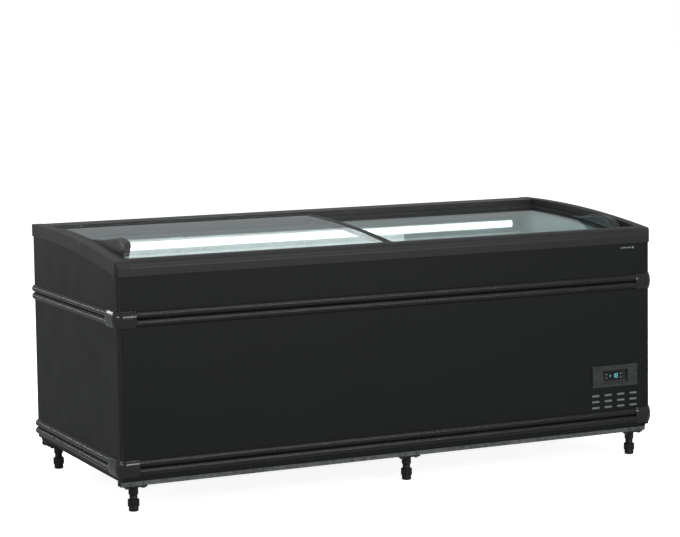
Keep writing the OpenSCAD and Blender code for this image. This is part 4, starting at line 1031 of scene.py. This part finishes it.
def build_screws():
    """Bezel screws, rear panel screws and the dark rivets of the base rail."""
    zinc = finish_of("screw_steel")
    lo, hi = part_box("bezel_screws")
    middle = (lo + hi) / 2
    shape = screw_shape("bezel_screw", 0.0035, 0.002)
    made = scattered("bezel_screw_heads", shape, zinc, 2, 1, hi.x - lo.x - 0.007, 0.0,
                     (middle.x, lo.y + 0.002, middle.z))
    finish_piece(made, "cabinet", "screw_steel", "bezel_screws")
    lo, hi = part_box("rear_panel")
    rows = []
    for index, z in enumerate((lo.z + 0.03, hi.z - 0.03)):
        shape = screw_shape(f"rear_screw_{index}", 0.0045, 0.0018)
        rows.append(scattered(f"rear_screws_{index}", shape, zinc, 9, 1, hi.x - lo.x - 0.06, 0.0,
                              ((lo.x + hi.x) / 2, REAR, z), TURN_BACK))
    lo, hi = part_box("rear_grille")
    middle = (lo + hi) / 2
    shape = screw_shape("grille_screw", 0.004, 0.0018)
    rows.append(scattered("grille_screws", shape, zinc, 2, 2, hi.x - lo.x - 0.012, hi.z - lo.z - 0.012,
                          (middle.x, hi.y, middle.z), TURN_BACK))
    finish_piece(merged("rear_screw_heads", rows), "cabinet", "screw_steel")
    dark = finish_of("socket_plastic")
    lo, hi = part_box("base_rails")
    rivets = []
    for index, place in enumerate(("left", "middle", "right")):
        foot_lo, foot_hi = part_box("foot_front_" + place)
        shape = screw_shape(f"rail_rivet_{index}", 0.0028, 0.0012)
        rivets.append(scattered(f"rail_rivets_{index}", shape, dark, 2, 1, 0.044, 0.0,
                                ((foot_lo.x + foot_hi.x) / 2 + 0.004, lo.y, (lo.z + hi.z) / 2)))
    finish_piece(merged("rail_rivet_heads", rivets), "cabinet", "bracket_steel")


# ------------------------------------------------------------------ stage
CAMERA_PLACE = (-3.2903, -6.8940, 1.5670)
CAMERA_YAW, CAMERA_PITCH, CAMERA_ROLL = 0.4408, 0.0854, 0.0146
LENS = 115.06
LENS_SHIFT = (0.0100, -0.0920)


def make_camera():
    """A long lens from the front left, a little above the lids."""
    data = bpy.data.cameras.new("camera")
    data.sensor_width = 36
    data.lens = LENS
    data.shift_x, data.shift_y = LENS_SHIFT
    data.clip_end = 200
    made = bpy.data.objects.new("camera", data)
    bpy.context.scene.collection.objects.link(made)
    level = math.cos(CAMERA_PITCH)
    ahead = Vector((math.sin(CAMERA_YAW) * level, math.cos(CAMERA_YAW) * level, -math.sin(CAMERA_PITCH)))
    right = Vector((math.cos(CAMERA_YAW), -math.sin(CAMERA_YAW), 0))
    down = ahead.cross(right)
    across = right * math.cos(CAMERA_ROLL) + down * math.sin(CAMERA_ROLL)
    below = down * math.cos(CAMERA_ROLL) - right * math.sin(CAMERA_ROLL)
    turn = Matrix((across, -below, -ahead)).transposed().to_4x4()
    made.matrix_world = Matrix.Translation(CAMERA_PLACE) @ turn
    bpy.context.scene.camera = made


def make_floor():
    """A plain pale floor, bright enough to leave only a faint shadow."""
    paper = grained("floor_paper", (0.93, 0.93, 0.93), 0.9, grain=300.0, depth=1e-5, mottle=0.01, edge=0.0,
                    specular=0.05)
    shader = paper.node_tree.nodes["Principled BSDF"]
    shader.inputs["Emission Color"].default_value = (1, 1, 1, 1)
    shader.inputs["Emission Strength"].default_value = 0.88
    reach = 60
    corners = [(x * reach, y * reach, 0) for x, y in ((-1, -1), (1, -1), (1, 1), (-1, 1))]
    made = mesh_piece("floor", corners, [(0, 1, 2, 3)], [paper], flat=True)
    made.visible_glossy = made.visible_diffuse = False


def make_light(name, place, target, size, power, mirrored=True):
    data = bpy.data.lights.new(name, "AREA")
    data.shape = "RECTANGLE"
    data.size, data.size_y = size
    data.energy = power
    made = bpy.data.objects.new(name, data)
    bpy.context.scene.collection.objects.link(made)
    made.visible_glossy = mirrored
    made.location = place
    made.rotation_euler = (Vector(target) - Vector(place)).to_track_quat("-Z", "Y").to_euler()
    return made


def make_world():
    """Pale to the eye all round, and dimmer as a source of light."""
    world = bpy.data.worlds.new("studio")
    bpy.context.scene.world = world
    world.use_nodes = True
    tree = world.node_tree
    back = tree.nodes["Background"]
    back.inputs["Color"].default_value = (0.95, 0.98, 1.0, 1)
    back.inputs["Strength"].default_value = 0.30
    seen = node(tree, "ShaderNodeBackground", {"Color": (1, 1, 1, 1), "Strength": 1.0})
    path = node(tree, "ShaderNodeLightPath")
    pick = node(tree, "ShaderNodeMixShader", {0: path.outputs["Is Camera Ray"], 1: back.outputs[0],
                                              2: seen.outputs[0]})
    tree.links.new(pick.outputs[0], tree.nodes["World Output"].inputs["Surface"])


# ------------------------------------------------------------------ operators
class FREEZER_OT_stage(bpy.types.Operator):
    """Set up the camera, the floor and the studio light"""

    bl_idname = "freezer.stage"
    bl_label = "Stage"

    def execute(self, context):
        make_camera()
        make_floor()
        make_world()
        context.scene.view_settings.view_transform = "Standard"
        make_light("top_softbox", (-0.4, 0.6, 4.2), (0, 0, 0.6), (5.0, 3.2), 150, mirrored=False)
        make_light("left_softbox", (-5.2, -2.6, 2.6), (-0.4, 0, 0.6), (2.2, 2.6), 26, mirrored=False)
        make_light("front_softbox", (3.4, -6.4, 3.6), (0.3, 0, 0.5), (2.6, 1.6), 30, mirrored=False)
        make_light("back_softbox", (0.5, 5.2, 3.0), (0, 0, 0.6), (5.0, 1.6), 60, mirrored=False)
        make_light("front_strip", (1.0, -4.6, 4.6), (0.3, -0.4, 0.7), (4.6, 0.35), 45)
        make_light("low_strip", (1.2, -6.2, 1.45), (0.1, -0.4, 0.6), (5.0, 0.14), 60)
        make_light("left_strip", (-4.9, -2.6, 1.35), (-1.0, -0.4, 0.55), (3.0, 0.12), 14)
        make_light("side_strip", (-3.2, 4.8, 1.0), (-1.0, 0.1, 0.6), (1.6, 0.14), 6)
        return {"FINISHED"}


class FREEZER_OT_finishes(bpy.types.Operator):
    """Give every part from the frame its finish"""

    bl_idname = "freezer.finishes"
    bl_label = "Finishes"

    def execute(self, context):
        slots = {part["node"]: part["material_slot"] for part in frame["record"]["subparts"]}
        for name, made in NODES.items():
            made.data.materials.clear()
            made.data.materials.append(finish_of(slots[name]))
        return {"FINISHED"}


class FREEZER_OT_glass(bpy.types.Operator):
    """Make the two curved glass panes"""

    bl_idname = "freezer.glass"
    bl_label = "Lid glass"

    def execute(self, context):
        build_lid_glass("upper", lids().upper_drop)
        build_lid_glass("lower", lids().lower_drop)
        return {"FINISHED"}


class FREEZER_OT_handles(bpy.types.Operator):
    """Make the two wing-shaped lid handles"""

    bl_idname = "freezer.handles"
    bl_label = "Lid handles"

    def execute(self, context):
        build_handle("upper", lids().upper_drop)
        build_handle("lower", lids().lower_drop)
        return {"FINISHED"}


class FREEZER_OT_bumpers(bpy.types.Operator):
    """Make the bumper strips and their corner caps"""

    bl_idname = "freezer.bumpers"
    bl_label = "Bumpers"

    def execute(self, context):
        build_front_bumpers()
        build_side_bumpers()
        build_corner_caps()
        return {"FINISHED"}


class FREEZER_OT_feet(bpy.types.Operator):
    """Make the ribbed levelling feet"""

    bl_idname = "freezer.feet"
    bl_label = "Feet"

    def execute(self, context):
        build_feet()
        return {"FINISHED"}


class FREEZER_OT_lamp(bpy.types.Operator):
    """Make the light strip in the tank"""

    bl_idname = "freezer.lamp"
    bl_label = "Tank lamp"

    def execute(self, context):
        build_lamp()
        return {"FINISHED"}


class FREEZER_OT_controller(bpy.types.Operator):
    """Make the reading, the key marks and the vents"""

    bl_idname = "freezer.controller"
    bl_label = "Controller and vents"

    def execute(self, context):
        build_display()
        build_key_marks()
        build_plate_marks()
        build_vents()
        return {"FINISHED"}


class FREEZER_OT_screws(bpy.types.Operator):
    """Make the screws and rivets"""

    bl_idname = "freezer.screws"
    bl_label = "Screws"

    def execute(self, context):
        build_screws()
        return {"FINISHED"}


class FREEZER_PT_panel(bpy.types.Panel):
    """Buttons and settings of the freezer"""

    bl_idname = "FREEZER_PT_panel"
    bl_label = "Chest freezer"
    bl_space_type = "VIEW_3D"
    bl_region_type = "UI"
    bl_category = "Freezer"

    def draw(self, context):
        for group in ("freezer_cabinet", "freezer_lids", "freezer_finishes"):
            settings = getattr(context.scene, group)
            for name in settings.__annotations__:
                self.layout.prop(settings, name)
        for operator in OPERATORS:
            self.layout.operator(operator.bl_idname)


OPERATORS = (FREEZER_OT_stage, FREEZER_OT_finishes, FREEZER_OT_glass, FREEZER_OT_handles, FREEZER_OT_bumpers,
             FREEZER_OT_feet, FREEZER_OT_lamp, FREEZER_OT_controller, FREEZER_OT_screws)
GROUPS = {"freezer_cabinet": CabinetSizes, "freezer_lids": LidSizes, "freezer_finishes": Finishes}


def register():
    for group in GROUPS.values():
        bpy.utils.register_class(group)
    for name, group in GROUPS.items():
        setattr(bpy.types.Scene, name, bpy.props.PointerProperty(type=group))
    for operator in OPERATORS:
        bpy.utils.register_class(operator)
    bpy.utils.register_class(FREEZER_PT_panel)


def unregister():
    bpy.utils.unregister_class(FREEZER_PT_panel)
    for operator in reversed(OPERATORS):
        bpy.utils.unregister_class(operator)
    for name in GROUPS:
        delattr(bpy.types.Scene, name)
    for group in GROUPS.values():
        bpy.utils.unregister_class(group)


def main():
    """Make the whole freezer in order."""
    register()
    for operator in OPERATORS:
        family, call = operator.bl_idname.split(".")
        getattr(getattr(bpy.ops, family), call)()


if __name__ == "__main__":
    main()
